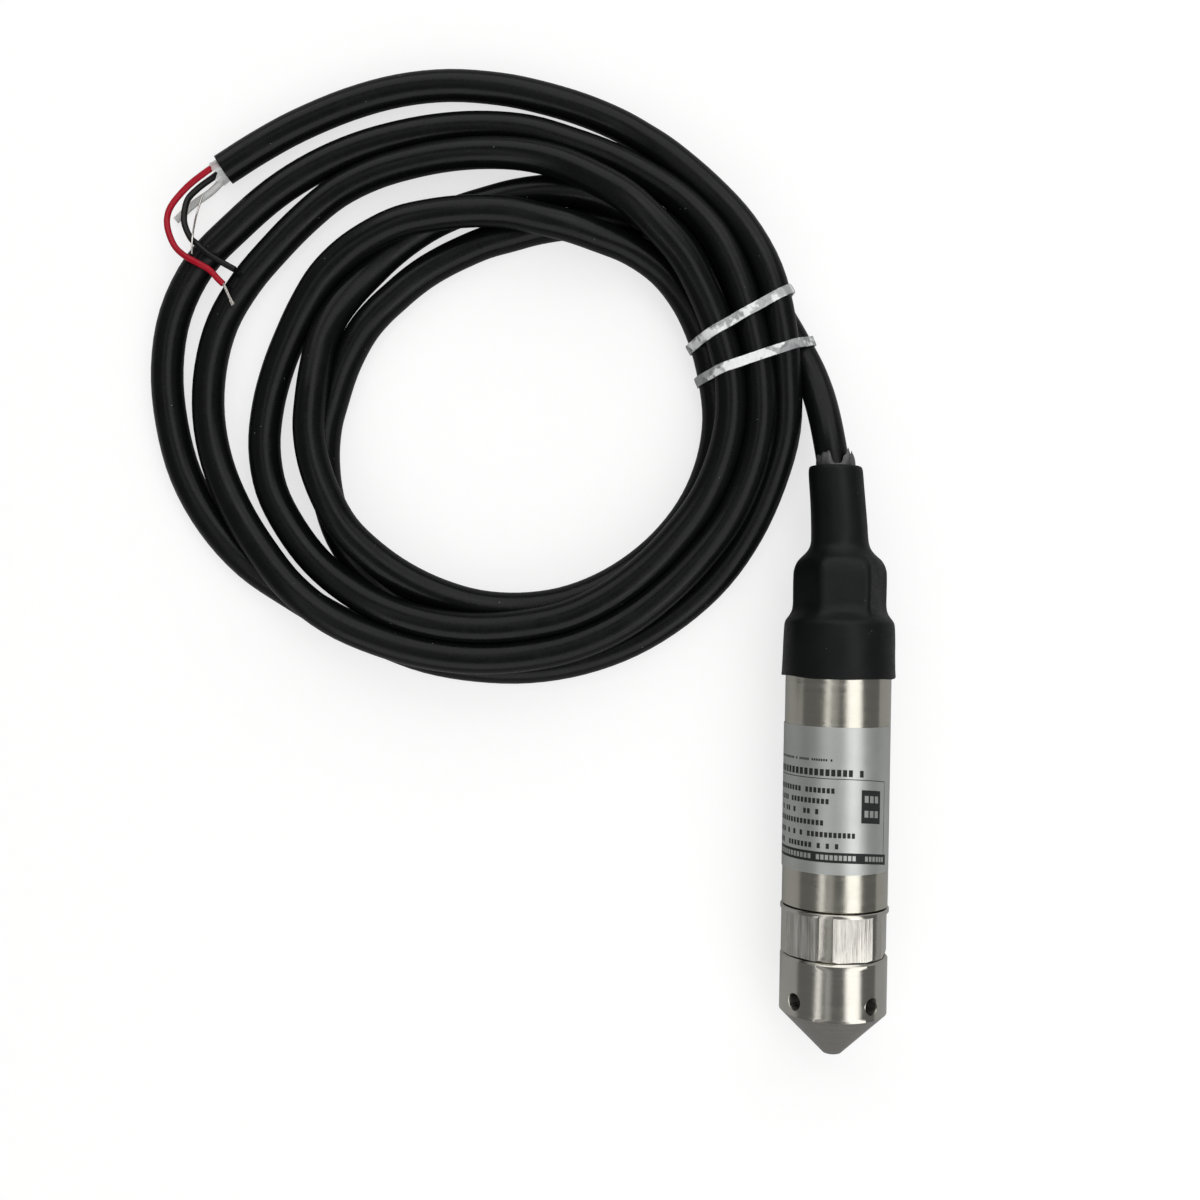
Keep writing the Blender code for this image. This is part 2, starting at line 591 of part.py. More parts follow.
def circuit_board():
    middle = (BOARD_FRONT + BOARD_REAR) / 2.0
    place = Matrix.Translation((0.0, BOARD_SINK, middle))
    board = box_mesh("circuit_board", (BOARD_WIDTH, BOARD_THICKNESS, BOARD_LENGTH), [place])
    add_object("circuit_board", board, BOARD_GREEN)
    slot_size = (BOARD_WIDTH + 2.0 * FIT, BOARD_THICKNESS + 2.0 * FIT, 2.0 * HOLDER_THICKNESS)
    window_size = (HOLDER_WINDOW_WIDTH, HOLDER_WINDOW_HEIGHT, 2.0 * HOLDER_THICKNESS)
    face = BOARD_SINK - BOARD_THICKNESS / 2.0
    for name, station in (
        ("board_holder_front", BOARD_FRONT - FIT),
        ("board_holder_rear", BOARD_REAR + FIT - HOLDER_THICKNESS),
    ):
        mesh = rod_mesh(name, REAR_SPIGOT_RADIUS, REAR_SPIGOT_RADIUS, HOLDER_THICKNESS,
                        [Matrix.Translation((0.0, 0.0, station + HOLDER_THICKNESS / 2.0))], RIM_STEPS // 2)
        holder = add_object(name, mesh, CARRIER_PLASTIC)
        middle = station + HOLDER_THICKNESS / 2.0
        slot = box_mesh(f"{name}_slot", slot_size, [Matrix.Translation((0.0, BOARD_SINK, middle))])
        modify(holder, add_object(f"{name}_slot", slot, collection=CUTTERS))
        centre = (0.0, face + FIT - HOLDER_WINDOW_HEIGHT / 2.0, middle)
        window = box_mesh(f"{name}_window", window_size, [Matrix.Translation(centre)])
        modify(holder, add_object(f"{name}_window", window, collection=CUTTERS))


def board_components():
    face = BOARD_SINK - BOARD_THICKNESS / 2.0 - SEAL_FIT

    def on_board(place, height):
        return Matrix.Translation((place[0], face - height / 2.0, BOARD_FRONT + place[1]))

    for name, size, place in (
        ("amplifier_chip", CHIP_SIZE, CHIP_PLACE),
        ("regulator", REGULATOR_SIZE, REGULATOR_PLACE),
    ):
        add_object(name, box_mesh(name, size, [on_board(place, size[1])]), CHIP_BLACK)
    stand = on_board(CAPACITOR_PLACE, CAPACITOR_HEIGHT) @ Matrix.Rotation(math.radians(90.0), 4, "X")
    add_object("filter_capacitor",
               rod_mesh("filter_capacitor", CAPACITOR_RADIUS, CAPACITOR_RADIUS, CAPACITOR_HEIGHT, [stand], 20),
               CAPSULE_STEEL)
    lie = on_board(ARRESTER_PLACE, 2.0 * ARRESTER_RADIUS) @ Matrix.Rotation(math.radians(90.0), 4, "Y")
    add_object("surge_arrester",
               rod_mesh("surge_arrester", ARRESTER_RADIUS, ARRESTER_RADIUS, ARRESTER_LENGTH, [lie], 20),
               CERAMIC_WHITE)


def sensor_leads():
    """Four fine leads from the capsule's pins to the front of the board."""
    face = BOARD_SINK - BOARD_THICKNESS / 2.0 - SEAL_FIT - LEAD_WIRE_RADIUS
    start = CAPSULE_END + 2.0 * FIT + PIN_LENGTH
    order = sorted(range(PIN_COUNT), key=lambda i: (pin_place(i).x > 0.0, pin_place(i).y * pin_place(i).x))
    for slot, i in enumerate(order):
        x = (slot - (PIN_COUNT - 1) / 2.0) * LEAD_PITCH
        pin = pin_place(i)
        tube_along(f"sensor_lead_{i + 1}", [
            (pin.x, pin.y, start),
            (pin.x, pin.y, start + 2.5 * MM),
            ((pin.x + x) / 2.0, (pin.y + face) / 2.0, (start + BOARD_FRONT) / 2.0 + 1.0 * MM),
            (x, face, BOARD_FRONT - 1.0 * MM),
            (x, face, BOARD_FRONT + 6.0 * MM),
        ], LEAD_WIRE_RADIUS, TINNED_COPPER, 2.5 * MM, sides=1)


def inner_lines():
    """The cable's red and black wires and its vent tube, inside the probe."""
    face = BOARD_SINK - BOARD_THICKNESS / 2.0 - SEAL_FIT - CORE_RADIUS
    end = CABLE_FRONT - FIT
    for name, side, material in (("inner_red_wire", -1.0, CORE_RED), ("inner_black_wire", 1.0, CORE_BLACK)):
        tube_along(name, [
            (side * 4.0 * MM, face, BOARD_REAR - 7.0 * MM),
            (side * 4.0 * MM, face, BOARD_REAR - 1.0 * MM),
            (side * 3.2 * MM, -0.4 * MM, BOARD_REAR + 6.0 * MM),
            (side * 1.6 * MM, -1.1 * MM, end - 4.0 * MM),
            (side * 1.4 * MM, -1.1 * MM, end),
        ], CORE_RADIUS, material, 3.0 * MM, sides=1)
    tube_along("inner_vent_tube", [
        (0.0, -1.6 * MM, BOARD_REAR - 2.0 * MM),
        (0.0, -1.3 * MM, BOARD_REAR + 4.0 * MM),
        (0.0, 0.9 * MM, end - 5.0 * MM),
        (0.0, 1.4 * MM, end),
    ], VENT_RADIUS, VENT_GREY, 3.0 * MM, sides=1)


def cable_head():
    spigot = HEAD_FRONT - HEAD_SPIGOT_LENGTH
    groove_bottom = TUBE_BORE - 2.0 * SEAL_FIT - 2.0 * TUBE_RING_WIRE
    groove_half = TUBE_RING_WIRE + SEAL_FIT
    groove = HEAD_FRONT - TUBE_RING_INSET
    seat = NECK_END - SEAL_LENGTH - FIT
    turned("cable_head", [
        (SEAL_RADIUS + FIT, NECK_END),
        (NECK_RADIUS - FIT, NECK_END),
        (NECK_RADIUS, NECK_END - FIT),
        (NECK_RADIUS, NECK_START),
        (TUBE_RADIUS - FIT, NECK_START),
        (TUBE_RADIUS, NECK_START - FIT),
        (TUBE_RADIUS, HEAD_FRONT),
        (REAR_SPIGOT_RADIUS, HEAD_FRONT),
        (REAR_SPIGOT_RADIUS, groove + groove_half),
        (groove_bottom, groove + groove_half),
        (groove_bottom, groove - groove_half),
        (REAR_SPIGOT_RADIUS, groove - groove_half),
        (REAR_SPIGOT_RADIUS, spigot),
        (HEAD_MOUTH_RADIUS, spigot),
        (HEAD_MOUTH_RADIUS, spigot + HEAD_MOUTH_DEPTH),
        (CABLE_BORE, spigot + HEAD_MOUTH_DEPTH),
        (CABLE_BORE, seat),
        (SEAL_RADIUS + FIT, seat),
    ], TURNED_STEEL)


def gland():
    seal_start = NECK_END - SEAL_LENGTH
    turned("gland_seal", [
        (CABLE_BORE, NECK_END),
        (SEAL_RADIUS, NECK_END),
        (SEAL_RADIUS, seal_start),
        (CABLE_BORE, seal_start),
    ], SEAL_RUBBER, steps=INNER_STEPS)
    turned("gland_washer", [
        (CABLE_BORE, WASHER_START + WASHER_THICKNESS),
        (NECK_RADIUS - FIT, WASHER_START + WASHER_THICKNESS),
        (NECK_RADIUS - FIT, WASHER_START),
        (CABLE_BORE, WASHER_START),
    ], NUT_BRASS, steps=INNER_STEPS)
    nut = turned("gland_nut", [
        (CABLE_BORE, NUT_END),
        (NUT_CORNER - NUT_CHAMFER, NUT_END),
        (NUT_CORNER, NUT_END - NUT_CHAMFER),
        (NUT_CORNER, NUT_START + NUT_FRONT_CHAMFER),
        (NUT_CORNER - NUT_FRONT_CHAMFER, NUT_START),
        (NUT_BORE, NUT_START),
        (NUT_BORE, NUT_INNER_END),
        (CABLE_BORE, NUT_INNER_END),
    ], NUT_BRASS, steps=RIM_STEPS)
    length = 1.2 * (NUT_END - NUT_START)
    flat_up = Matrix.Rotation(math.radians(30.0), 4, "Z")
    place = Matrix.Translation((0.0, 0.0, (NUT_START + NUT_END) / 2.0)) @ flat_up
    prism = rod_mesh("nut_hexagon", NUT_CORNER, NUT_CORNER, length, [place], 6)
    modify(nut, add_object("nut_hexagon", prism, collection=CUTTERS), "INTERSECT")


def hexagon_reach(angle, corner, flat):
    """Radius of a hexagon with rounded corners, with one flat's middle straight up."""
    from_flat = (angle + math.pi / 6.0) % (math.pi / 3.0) - math.pi / 6.0
    return min(corner, flat / math.cos(from_flat))


def sleeve_sections():
    """Inner and outer (corner radius, flat distance) of the shrunk sleeve at each station."""
    wall = SLEEVE_WALL
    corner = NUT_CORNER + FIT
    flat = NUT_ACROSS / 2.0 + FIT
    shoulder = NECK_START + 2.0 * FIT
    nut_side = shoulder + SLEEVE_SLOPE
    nut_side_end = NUT_END - NUT_CHAMFER / 2.0
    neck = nut_side_end + SLEEVE_SLOPE - NUT_CHAMFER / 2.0
    neck_bore = SLEEVE_NECK_RADIUS - SLEEVE_NECK_WALL
    mouth_bore = SLEEVE_MOUTH_RADIUS - SLEEVE_NECK_WALL
    shoulder_bore = SLEEVE_BORE - SLEEVE_SHOULDER_DROP
    nut_end_bore = corner - SLEEVE_NUT_DROP
    fold_bore = neck_bore - SLEEVE_FOLD_DROP
    return [
        (TUBE_REAR - SLEEVE_OVERLAP, SLEEVE_BORE, SLEEVE_BORE, wall),
        (shoulder, SLEEVE_BORE, SLEEVE_BORE, wall),
        (shoulder + SLEEVE_SLOPE * 0.35, shoulder_bore, shoulder_bore, wall),
        (nut_side, corner, flat, wall),
        (nut_side_end, corner, flat, wall),
        (nut_side_end + SLEEVE_SLOPE * 0.35, nut_end_bore, nut_end_bore, wall),
        (neck, neck_bore, neck_bore, SLEEVE_NECK_WALL),
        (SLEEVE_MOUTH - SLEEVE_FOLD, neck_bore, neck_bore, SLEEVE_NECK_WALL),
        (SLEEVE_MOUTH - SLEEVE_FOLD * 0.4, fold_bore, fold_bore, SLEEVE_NECK_WALL),
        (SLEEVE_MOUTH, mouth_bore, mouth_bore, SLEEVE_NECK_WALL),
    ]


def heat_shrink_sleeve():
    """A loft from round, over the hexagon of the nut, to round again, with a wall all along."""
    sections = sleeve_sections()
    stations = [(z, corner + wall, flat + wall) for z, corner, flat, wall in sections]
    stations += [(z, corner, flat) for z, corner, flat, wall in reversed(sections)]
    mesh = bpy.data.meshes.new("heat_shrink_sleeve")
    shape = bmesh.new()
    loops = []
    for z, corner, flat in stations:
        loop = []
        for i in range(RIM_STEPS):
            angle = 2.0 * math.pi * i / RIM_STEPS
            out = upward(angle) * hexagon_reach(angle, corner, flat)
            loop.append(shape.verts.new((out.x, out.y, z)))
        loops.append(loop)
    for here, there in zip(loops, loops[1:] + loops[:1]):
        for i in range(RIM_STEPS):
            j = (i + 1) % RIM_STEPS
            shape.faces.new((here[i], there[i], there[j], here[j]))
    bmesh.ops.recalc_face_normals(shape, faces=shape.faces)
    shape.to_mesh(mesh)
    shape.free()
    mesh.shade_smooth()
    mesh.set_sharp_from_angle(angle=math.radians(40.0))
    add_object("heat_shrink_sleeve", mesh, SHRINK_BLACK)


def sleeve_adhesive():
    bore = CABLE_RADIUS + CABLE_GRIP
    body = SLEEVE_NECK_RADIUS - SLEEVE_NECK_WALL - FIT
    mouth = SLEEVE_MOUTH_RADIUS - SLEEVE_NECK_WALL - FIT
    turned("sleeve_adhesive", [
        (bore, ADHESIVE_END),
        (mouth - 0.1 * MM, ADHESIVE_END),
        (mouth, SLEEVE_MOUTH),
        (body, SLEEVE_MOUTH - SLEEVE_FOLD),
        (body, NUT_END + SLEEVE_SLOPE),
        (bore, NUT_END + SLEEVE_SLOPE),
    ], HOT_MELT, steps=INNER_STEPS)


def millimetres(points):
    return [tuple(value * MM for value in point) for point in points]


def cable_stretches():
    """The cable's own straight part in the gland, its way to the coil, and its free end."""
    half = SLEEVE_MOUTH / 2.0
    inside = [
        (0.0, CABLE_FRONT - half, AXIS_HEIGHT),
        (0.0, (CABLE_FRONT + SLEEVE_MOUTH) / 2.0 - half, AXIS_HEIGHT),
        (0.0, SLEEVE_MOUTH - half, AXIS_HEIGHT),
    ]
    step = 4.4 * CABLE_RADIUS
    tube_along("cable_lead", inside + millimetres(LEAD_ROUTE), CABLE_RADIUS, CABLE_BLACK,
               0.25 * step, sides=4, parent=None)
    tube_along("cable_tail", millimetres(TAIL_ROUTE), CABLE_RADIUS, CABLE_BLACK, step, sides=4, parent=None)


def cut_end_lines():
    """The lines that come out of the cable's cut end, lying over the outer turn."""
    for name, route, radius, material in (
        ("red_wire", RED_ROUTE, CORE_RADIUS, CORE_RED),
        ("red_wire_strands", STRAND_ROUTE, STRAND_RADIUS, TINNED_COPPER),
        ("black_wire", BLACK_ROUTE, CORE_RADIUS, CORE_BLACK),
        ("vent_tube", VENT_ROUTE, VENT_RADIUS, VENT_GREY),
        ("drain_wire", DRAIN_ROUTE, DRAIN_RADIUS, TINNED_COPPER),
    ):
        tube_along(name, millimetres(route), radius, material, 3.0 * MM, sides=2, parent=None)


def oval(name, centre, half_widths, bottom, top, steps=RIM_STEPS, **place):
    """An upright oval block; its mesh already has its size, so bevels and cuts stay even."""
    middle = Vector((*centre, (bottom + top) / 2.0))
    matrix = Matrix.Translation(middle) @ Matrix.Diagonal((*half_widths, 1.0, 1.0))
    return rod_mesh(name, 1.0, 1.0, top - bottom, [matrix], steps)


def coil():
    """The outer shape of the coil: all its turns in one solid, its layers joined."""
    lower = add_object("cable_coil", oval("cable_coil", COIL_CENTRE, COIL_HALF_WIDTHS, 0.0, COIL_LAYER),
                       CABLE_BLACK, parent=None)
    upper_mesh = oval("coil_upper", UPPER_CENTRE, UPPER_HALF_WIDTHS, COIL_LAYER / 2.0, COIL_HEIGHT)
    modify(lower, add_object("coil_upper", upper_mesh, collection=CUTTERS, parent=None), "UNION")
    hole_mesh = oval("coil_opening", OPENING_CENTRE, OPENING_HALF_WIDTHS, -COIL_LAYER, 2.0 * COIL_HEIGHT)
    modify(lower, add_object("coil_opening", hole_mesh, collection=CUTTERS, parent=None))
    bevel = lower.modifiers.new("round", "BEVEL")
    bevel.width = COIL_ROUND
    bevel.segments = 1
    bevel.limit_method = "ANGLE"
    bevel.angle_limit = math.radians(50.0)
    for name, angle in TIE_ANGLES.items():
        channel = tie_channel(name, angle)
        modify(lower, add_object(f"{name}_channel", channel, collection=CUTTERS, parent=None))


def tie_reach(angle, centre, half_widths):
    """Distance from the ties' fan point to an oval's edge in one direction."""
    along = Vector((math.cos(angle), math.sin(angle)))
    start = Vector(TIE_FAN_POINT) - Vector(centre)
    a = sum((along[i] / half_widths[i]) ** 2 for i in range(2))
    b = sum(along[i] * start[i] / half_widths[i] ** 2 for i in range(2))
    c = sum((start[i] / half_widths[i]) ** 2 for i in range(2)) - 1.0
    return (-b + math.sqrt(b * b - a * c)) / a


def tie_span(angle):
    inner = tie_reach(angle, OPENING_CENTRE, OPENING_HALF_WIDTHS)
    outer = tie_reach(angle, COIL_CENTRE, COIL_HALF_WIDTHS)
    return inner - TIE_GAP, outer + TIE_GAP


def tie_turn(angle):
    return Matrix.Translation((*TIE_FAN_POINT, 0.0)) @ Matrix.Rotation(angle, 4, "Z")


def tie_channel(name, angle):
    """The room under the turns that the band and its head need."""
    inner, outer = tie_span(angle)
    width = TIE_HEAD_SIZE[1] + 2.0 * FIT
    height = 2.0 * (TIE_HEAD_SIZE[2] + TIE_GAP + TIE_THICKNESS + FIT)
    size = (outer - inner + 4.0 * COIL_LAYER, width, height)
    place = tie_turn(angle) @ Matrix.Translation(((inner + outer) / 2.0, 0.0, 0.0))
    return box_mesh(f"{name}_channel", size, [place])


def rounded_loop(curve, left, right, bottom, top, corner):
    """One closed outline with round corners, added to a flat curve."""
    points = []
    parts = 3
    for x, y, first in (
        (right - corner, top - corner, 0.0),
        (left + corner, top - corner, 90.0),
        (left + corner, bottom + corner, 180.0),
        (right - corner, bottom + corner, 270.0),
    ):
        for i in range(parts + 1):
            angle = math.radians(first + 90.0 * i / parts)
            points.append((x + corner * math.cos(angle), y + corner * math.sin(angle)))
    spline = curve.splines.new("POLY")
    spline.points.add(len(points) - 1)
    for point, (x, y) in zip(spline.points, points):
        point.co = (x, y, 0.0, 1.0)
    spline.use_cyclic_u = True


def tie_band(name, angle):
    inner, outer = tie_span(angle)
    bottom = TIE_GAP / 2.0 + TIE_THICKNESS
    top = COIL_HEIGHT + TIE_GAP
    curve = bpy.data.curves.new(name, "CURVE")
    curve.dimensions = "2D"
    curve.fill_mode = "BOTH"
    curve.extrude = TIE_WIDTH / 2.0
    thick = TIE_THICKNESS
    rounded_loop(curve, inner - thick, outer + thick, bottom - thick, top + thick, TIE_CORNER + thick)
    rounded_loop(curve, inner, outer, bottom, top, TIE_CORNER)
    sketch = bpy.data.objects.new(f"{name}_sketch", curve)
    PARTS.objects.link(sketch)
    sketch.matrix_world = tie_turn(angle) @ Matrix.Rotation(math.radians(90.0), 4, "X")
    bpy.context.view_layer.update()
    depsgraph = bpy.context.evaluated_depsgraph_get()
    mesh = bpy.data.meshes.new_from_object(sketch.evaluated_get(depsgraph))
    shape = bmesh.new()
    shape.from_mesh(mesh)
    bmesh.ops.remove_doubles(shape, verts=shape.verts, dist=0.00001)
    shape.to_mesh(mesh)
    shape.free()
    band = add_object(name, mesh, TIE_PLASTIC, parent=None)
    band.matrix_world = sketch.matrix_world
    bpy.data.objects.remove(sketch, do_unlink=True)
    head_height = TIE_HEAD_SIZE[2] + thick / 2.0
    place = tie_turn(angle) @ Matrix.Translation(
        (inner + TIE_HEAD_PLACE, 0.0, bottom - thick / 2.0 + head_height / 2.0)
    )
    size = (TIE_HEAD_SIZE[0], TIE_HEAD_SIZE[1], head_height)
    head = add_object(f"{name}_head", box_mesh(f"{name}_head", size, [place]), collection=CUTTERS, parent=None)
    modify(band, head, "UNION")


def build():
    nose_cap()
    sensor_housing()
    capsule()
    tube_and_label()
    circuit_board()
    board_components()
    sensor_leads()
    inner_lines()
    cable_head()
    gland()
    heat_shrink_sleeve()
    sleeve_adhesive()
    cable_stretches()
    coil()
    for name, angle in TIE_ANGLES.items():
        tie_band(name, angle)
    cut_end_lines()


build()
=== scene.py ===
import math
import random

import bmesh
import bpy
from mathutils import Matrix, Vector, noise


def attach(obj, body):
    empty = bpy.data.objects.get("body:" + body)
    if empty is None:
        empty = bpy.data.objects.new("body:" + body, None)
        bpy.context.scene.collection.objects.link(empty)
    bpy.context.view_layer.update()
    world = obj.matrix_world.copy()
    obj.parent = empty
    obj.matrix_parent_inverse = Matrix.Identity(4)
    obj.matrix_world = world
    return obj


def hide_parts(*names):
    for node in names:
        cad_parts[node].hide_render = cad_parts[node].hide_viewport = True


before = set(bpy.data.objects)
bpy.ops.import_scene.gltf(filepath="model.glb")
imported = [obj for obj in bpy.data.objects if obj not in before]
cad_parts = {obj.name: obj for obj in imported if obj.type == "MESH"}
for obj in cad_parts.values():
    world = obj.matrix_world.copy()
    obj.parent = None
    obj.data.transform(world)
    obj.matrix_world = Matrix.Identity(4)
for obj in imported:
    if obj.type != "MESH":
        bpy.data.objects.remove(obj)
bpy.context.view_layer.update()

# The table, the studio light and the camera. The transmitter lies on a pale table and is seen from
# straight above. Three long soft lamps beside the probe give its steel the light and dark bands,
# and two wide ones beyond its ends light the rest evenly.
MM = 0.001
scene = bpy.context.scene
scene.view_settings.view_transform = "Standard"


def feed(tree, node, sockets):
    """Links or sets sockets of a node, given by name or number."""
    for key, value in sockets.items():
        if isinstance(value, bpy.types.NodeSocket):
            tree.links.new(value, node.inputs[key])
        else:
            node.inputs[key].default_value = value


def put(tree, kind, sockets=None, **settings):
    """A new node, its sockets fed; the settings are its own properties."""
    made = tree.nodes.new(kind)
    for name, value in settings.items():
        setattr(made, name, value)
    feed(tree, made, sockets or {})
    return made


def reckon(tree, operation, *values):
    """The result of one Math node."""
    return put(tree, "ShaderNodeMath", dict(enumerate(values)), operation=operation).outputs[0]


def blend_colours(tree, share, *colours):
    """From one colour to another by the share; each is a socket or three numbers."""
    first, second = [
        colour if isinstance(colour, bpy.types.NodeSocket) else (*colour, 1.0) for colour in colours
    ]
    return put(tree, "ShaderNodeMix", {"Factor": share, 6: first, 7: second}, data_type="RGBA").outputs[2]


def spread(tree, value, low, high, to_low=0.0, to_high=1.0):
    """The value's range from low to high, laid over another range."""
    return put(tree, "ShaderNodeMapRange", {
        "Value": value, "From Min": low, "From Max": high, "To Min": to_low, "To Max": to_high,
    }).outputs["Result"]


def new_finish(name, colour=(0.5, 0.5, 0.5), roughness=0.5, **sockets):
    """A material, its node tree and its Principled shader."""
    material = bpy.data.materials.new(name)
    material.use_nodes = True
    tree = material.node_tree
    shader = tree.nodes["Principled BSDF"]
    shader.inputs["Base Color"].default_value = (*colour, 1.0)
    shader.inputs["Roughness"].default_value = roughness
    for key, value in sockets.items():
        shader.inputs[key.replace("_", " ").title().replace("Ior", "IOR")].default_value = value
    return material, tree, shader


def place_on_object(tree):
    return put(tree, "ShaderNodeTexCoord").outputs["Object"]


# What a mirror sees of the white backdrop, as a share of what the camera sees
MIRROR_SHARE = 0.1


def seen_rays(tree):
    """1 for what the camera or glass sees directly, and the mirror's share for what a mirror sees."""
    path = put(tree, "ShaderNodeLightPath").outputs
    clear = reckon(tree, "MAXIMUM", path["Is Camera Ray"], path["Is Transmission Ray"])
    return reckon(tree, "MAXIMUM", clear, reckon(tree, "MULTIPLY", path["Is Glossy Ray"], MIRROR_SHARE))


table_paper, tree, shader = new_finish("table_paper", (0.37, 0.37, 0.37), 0.9, specular_ior_level=0.0)
paper_grain = put(tree, "ShaderNodeTexNoise", {"Scale": 900.0, "Detail": 2.0}).outputs["Fac"]
# Far out, where the lamps no longer reach, the paper fades into the white backdrop
reach = put(tree, "ShaderNodeVectorMath", {0: place_on_object(tree)}, operation="LENGTH").outputs["Value"]
whiteness = spread(tree, reach, 0.45, 1.3, 0.68, 1.0)
feed(tree, shader, {
    "Base Color": blend_colours(tree, paper_grain, (0.36, 0.36, 0.36), (0.38, 0.38, 0.38)),
    "Emission Color": (1.0, 1.0, 1.0, 1.0),
    "Emission Strength": reckon(tree, "MULTIPLY", seen_rays(tree), whiteness),
})
table_mesh = bpy.data.meshes.new("table")
table_mesh.from_pydata(
    [(-1.5, -1.5, 0.0), (1.5, -1.5, 0.0), (1.5, 1.5, 0.0), (-1.5, 1.5, 0.0)], [], [(0, 1, 2, 3)]
)
table_mesh.materials.append(table_paper)
table = bpy.data.objects.new("table", table_mesh)
scene.collection.objects.link(table)

world = bpy.data.worlds.new("studio")
scene.world = world
world.use_nodes = True
tree = world.node_tree
tree.nodes.clear()
# The room is dim beside the probe and lighter beyond its two ends
direction = put(tree, "ShaderNodeSeparateXYZ", {0: put(tree, "ShaderNodeTexCoord").outputs["Generated"]})
endwise = reckon(tree, "ABSOLUTE", direction.outputs["Y"])
room_light = spread(tree, endwise, 0.4, 0.8, 0.07, 0.24)
room = put(tree, "ShaderNodeBackground", {"Color": (1.0, 0.99, 0.95, 1.0), "Strength": room_light})
backdrop = put(tree, "ShaderNodeBackground", {"Color": (1.0, 1.0, 1.0, 1.0), "Strength": 1.0})
sky = put(tree, "ShaderNodeMixShader", {0: seen_rays(tree), 1: room.outputs[0], 2: backdrop.outputs[0]})
put(tree, "ShaderNodeOutputWorld", {0: sky.outputs[0]})

# Each lamp: which way it lies from the probe (X and Y tilt from straight up), its turn about its
# own middle, distance, its two sizes and its brightness.
for name, tilt_x, tilt_y, spin, distance, across, along, brightness in (
    ("left_lamp", -33.0, -8.0, -34.0, 1.2, 0.20, 1.3, 1.1),
    ("dim_lamp", -15.0, -4.0, -20.0, 1.5, 0.30, 1.4, 0.3),
    ("right_lamp", 24.0, 0.0, 28.0, 1.2, 0.62, 2.2, 1.7),
    ("far_lamp", 0.0, 56.0, 0.0, 1.3, 2.2, 1.0, 1.4),
    ("near_lamp", 0.0, -56.0, 0.0, 1.3, 2.2, 1.0, 1.4),
):
    lamp = bpy.data.lights.new(name, "AREA")
    lamp.shape = "RECTANGLE"
    lamp.size = across
    lamp.size_y = along
    lamp.energy = brightness * math.pi * across * along
    lamp_object = bpy.data.objects.new(name, lamp)
    turn = Matrix.Rotation(math.radians(tilt_x), 4, "Y") @ Matrix.Rotation(math.radians(-tilt_y), 4, "X")
    spin_turn = Matrix.Rotation(math.radians(spin), 4, "Z")
    lamp_object.matrix_world = turn @ Matrix.Translation((0.0, 0.0, distance)) @ spin_turn
    scene.collection.objects.link(lamp_object)

camera_lens = bpy.data.cameras.new("camera")
camera_lens.sensor_width = 36.0
camera_lens.lens = 42.0
camera_lens.clip_start = 0.01
camera = bpy.data.objects.new("camera", camera_lens)
camera.location = (-61.9 * MM, 40.1 * MM, 376.0 * MM)
camera.rotation_euler = (0.0, 0.0, math.radians(1.02))
scene.collection.objects.link(camera)
scene.camera = camera


# The cable: black PVC over a red and a black core, a vent tube and a drain wire, 8.4 mm across.
# It leaves the gland, dives under its own turns and lies in a coil of five turns and a bit on
# the table. The jacket is extruded: satin, with faint draw lines and a few handling marks.
CABLE_RADIUS = 4.2 * MM
COIL_MIDDLE = (-94.0, 99.6)
# How high the cable's middle runs where it lies on the table, in mm
LYING = 4.2
LEAD_ROUTE = [
    (0.0, 48.0, 14.3), (0.0, 55.0, 14.3), (-0.6, 63.0, 14.3), (-1.4, 70.5, 14.3), (-2.3, 76.5, 14.1),
    (-3.2, 82.2, 13.2), (-4.2, 88.4, 11.3), (-5.5, 94.7, 8.7), (-7.6, 101.0, 6.5), (-10.4, 106.7, 5.3),
]
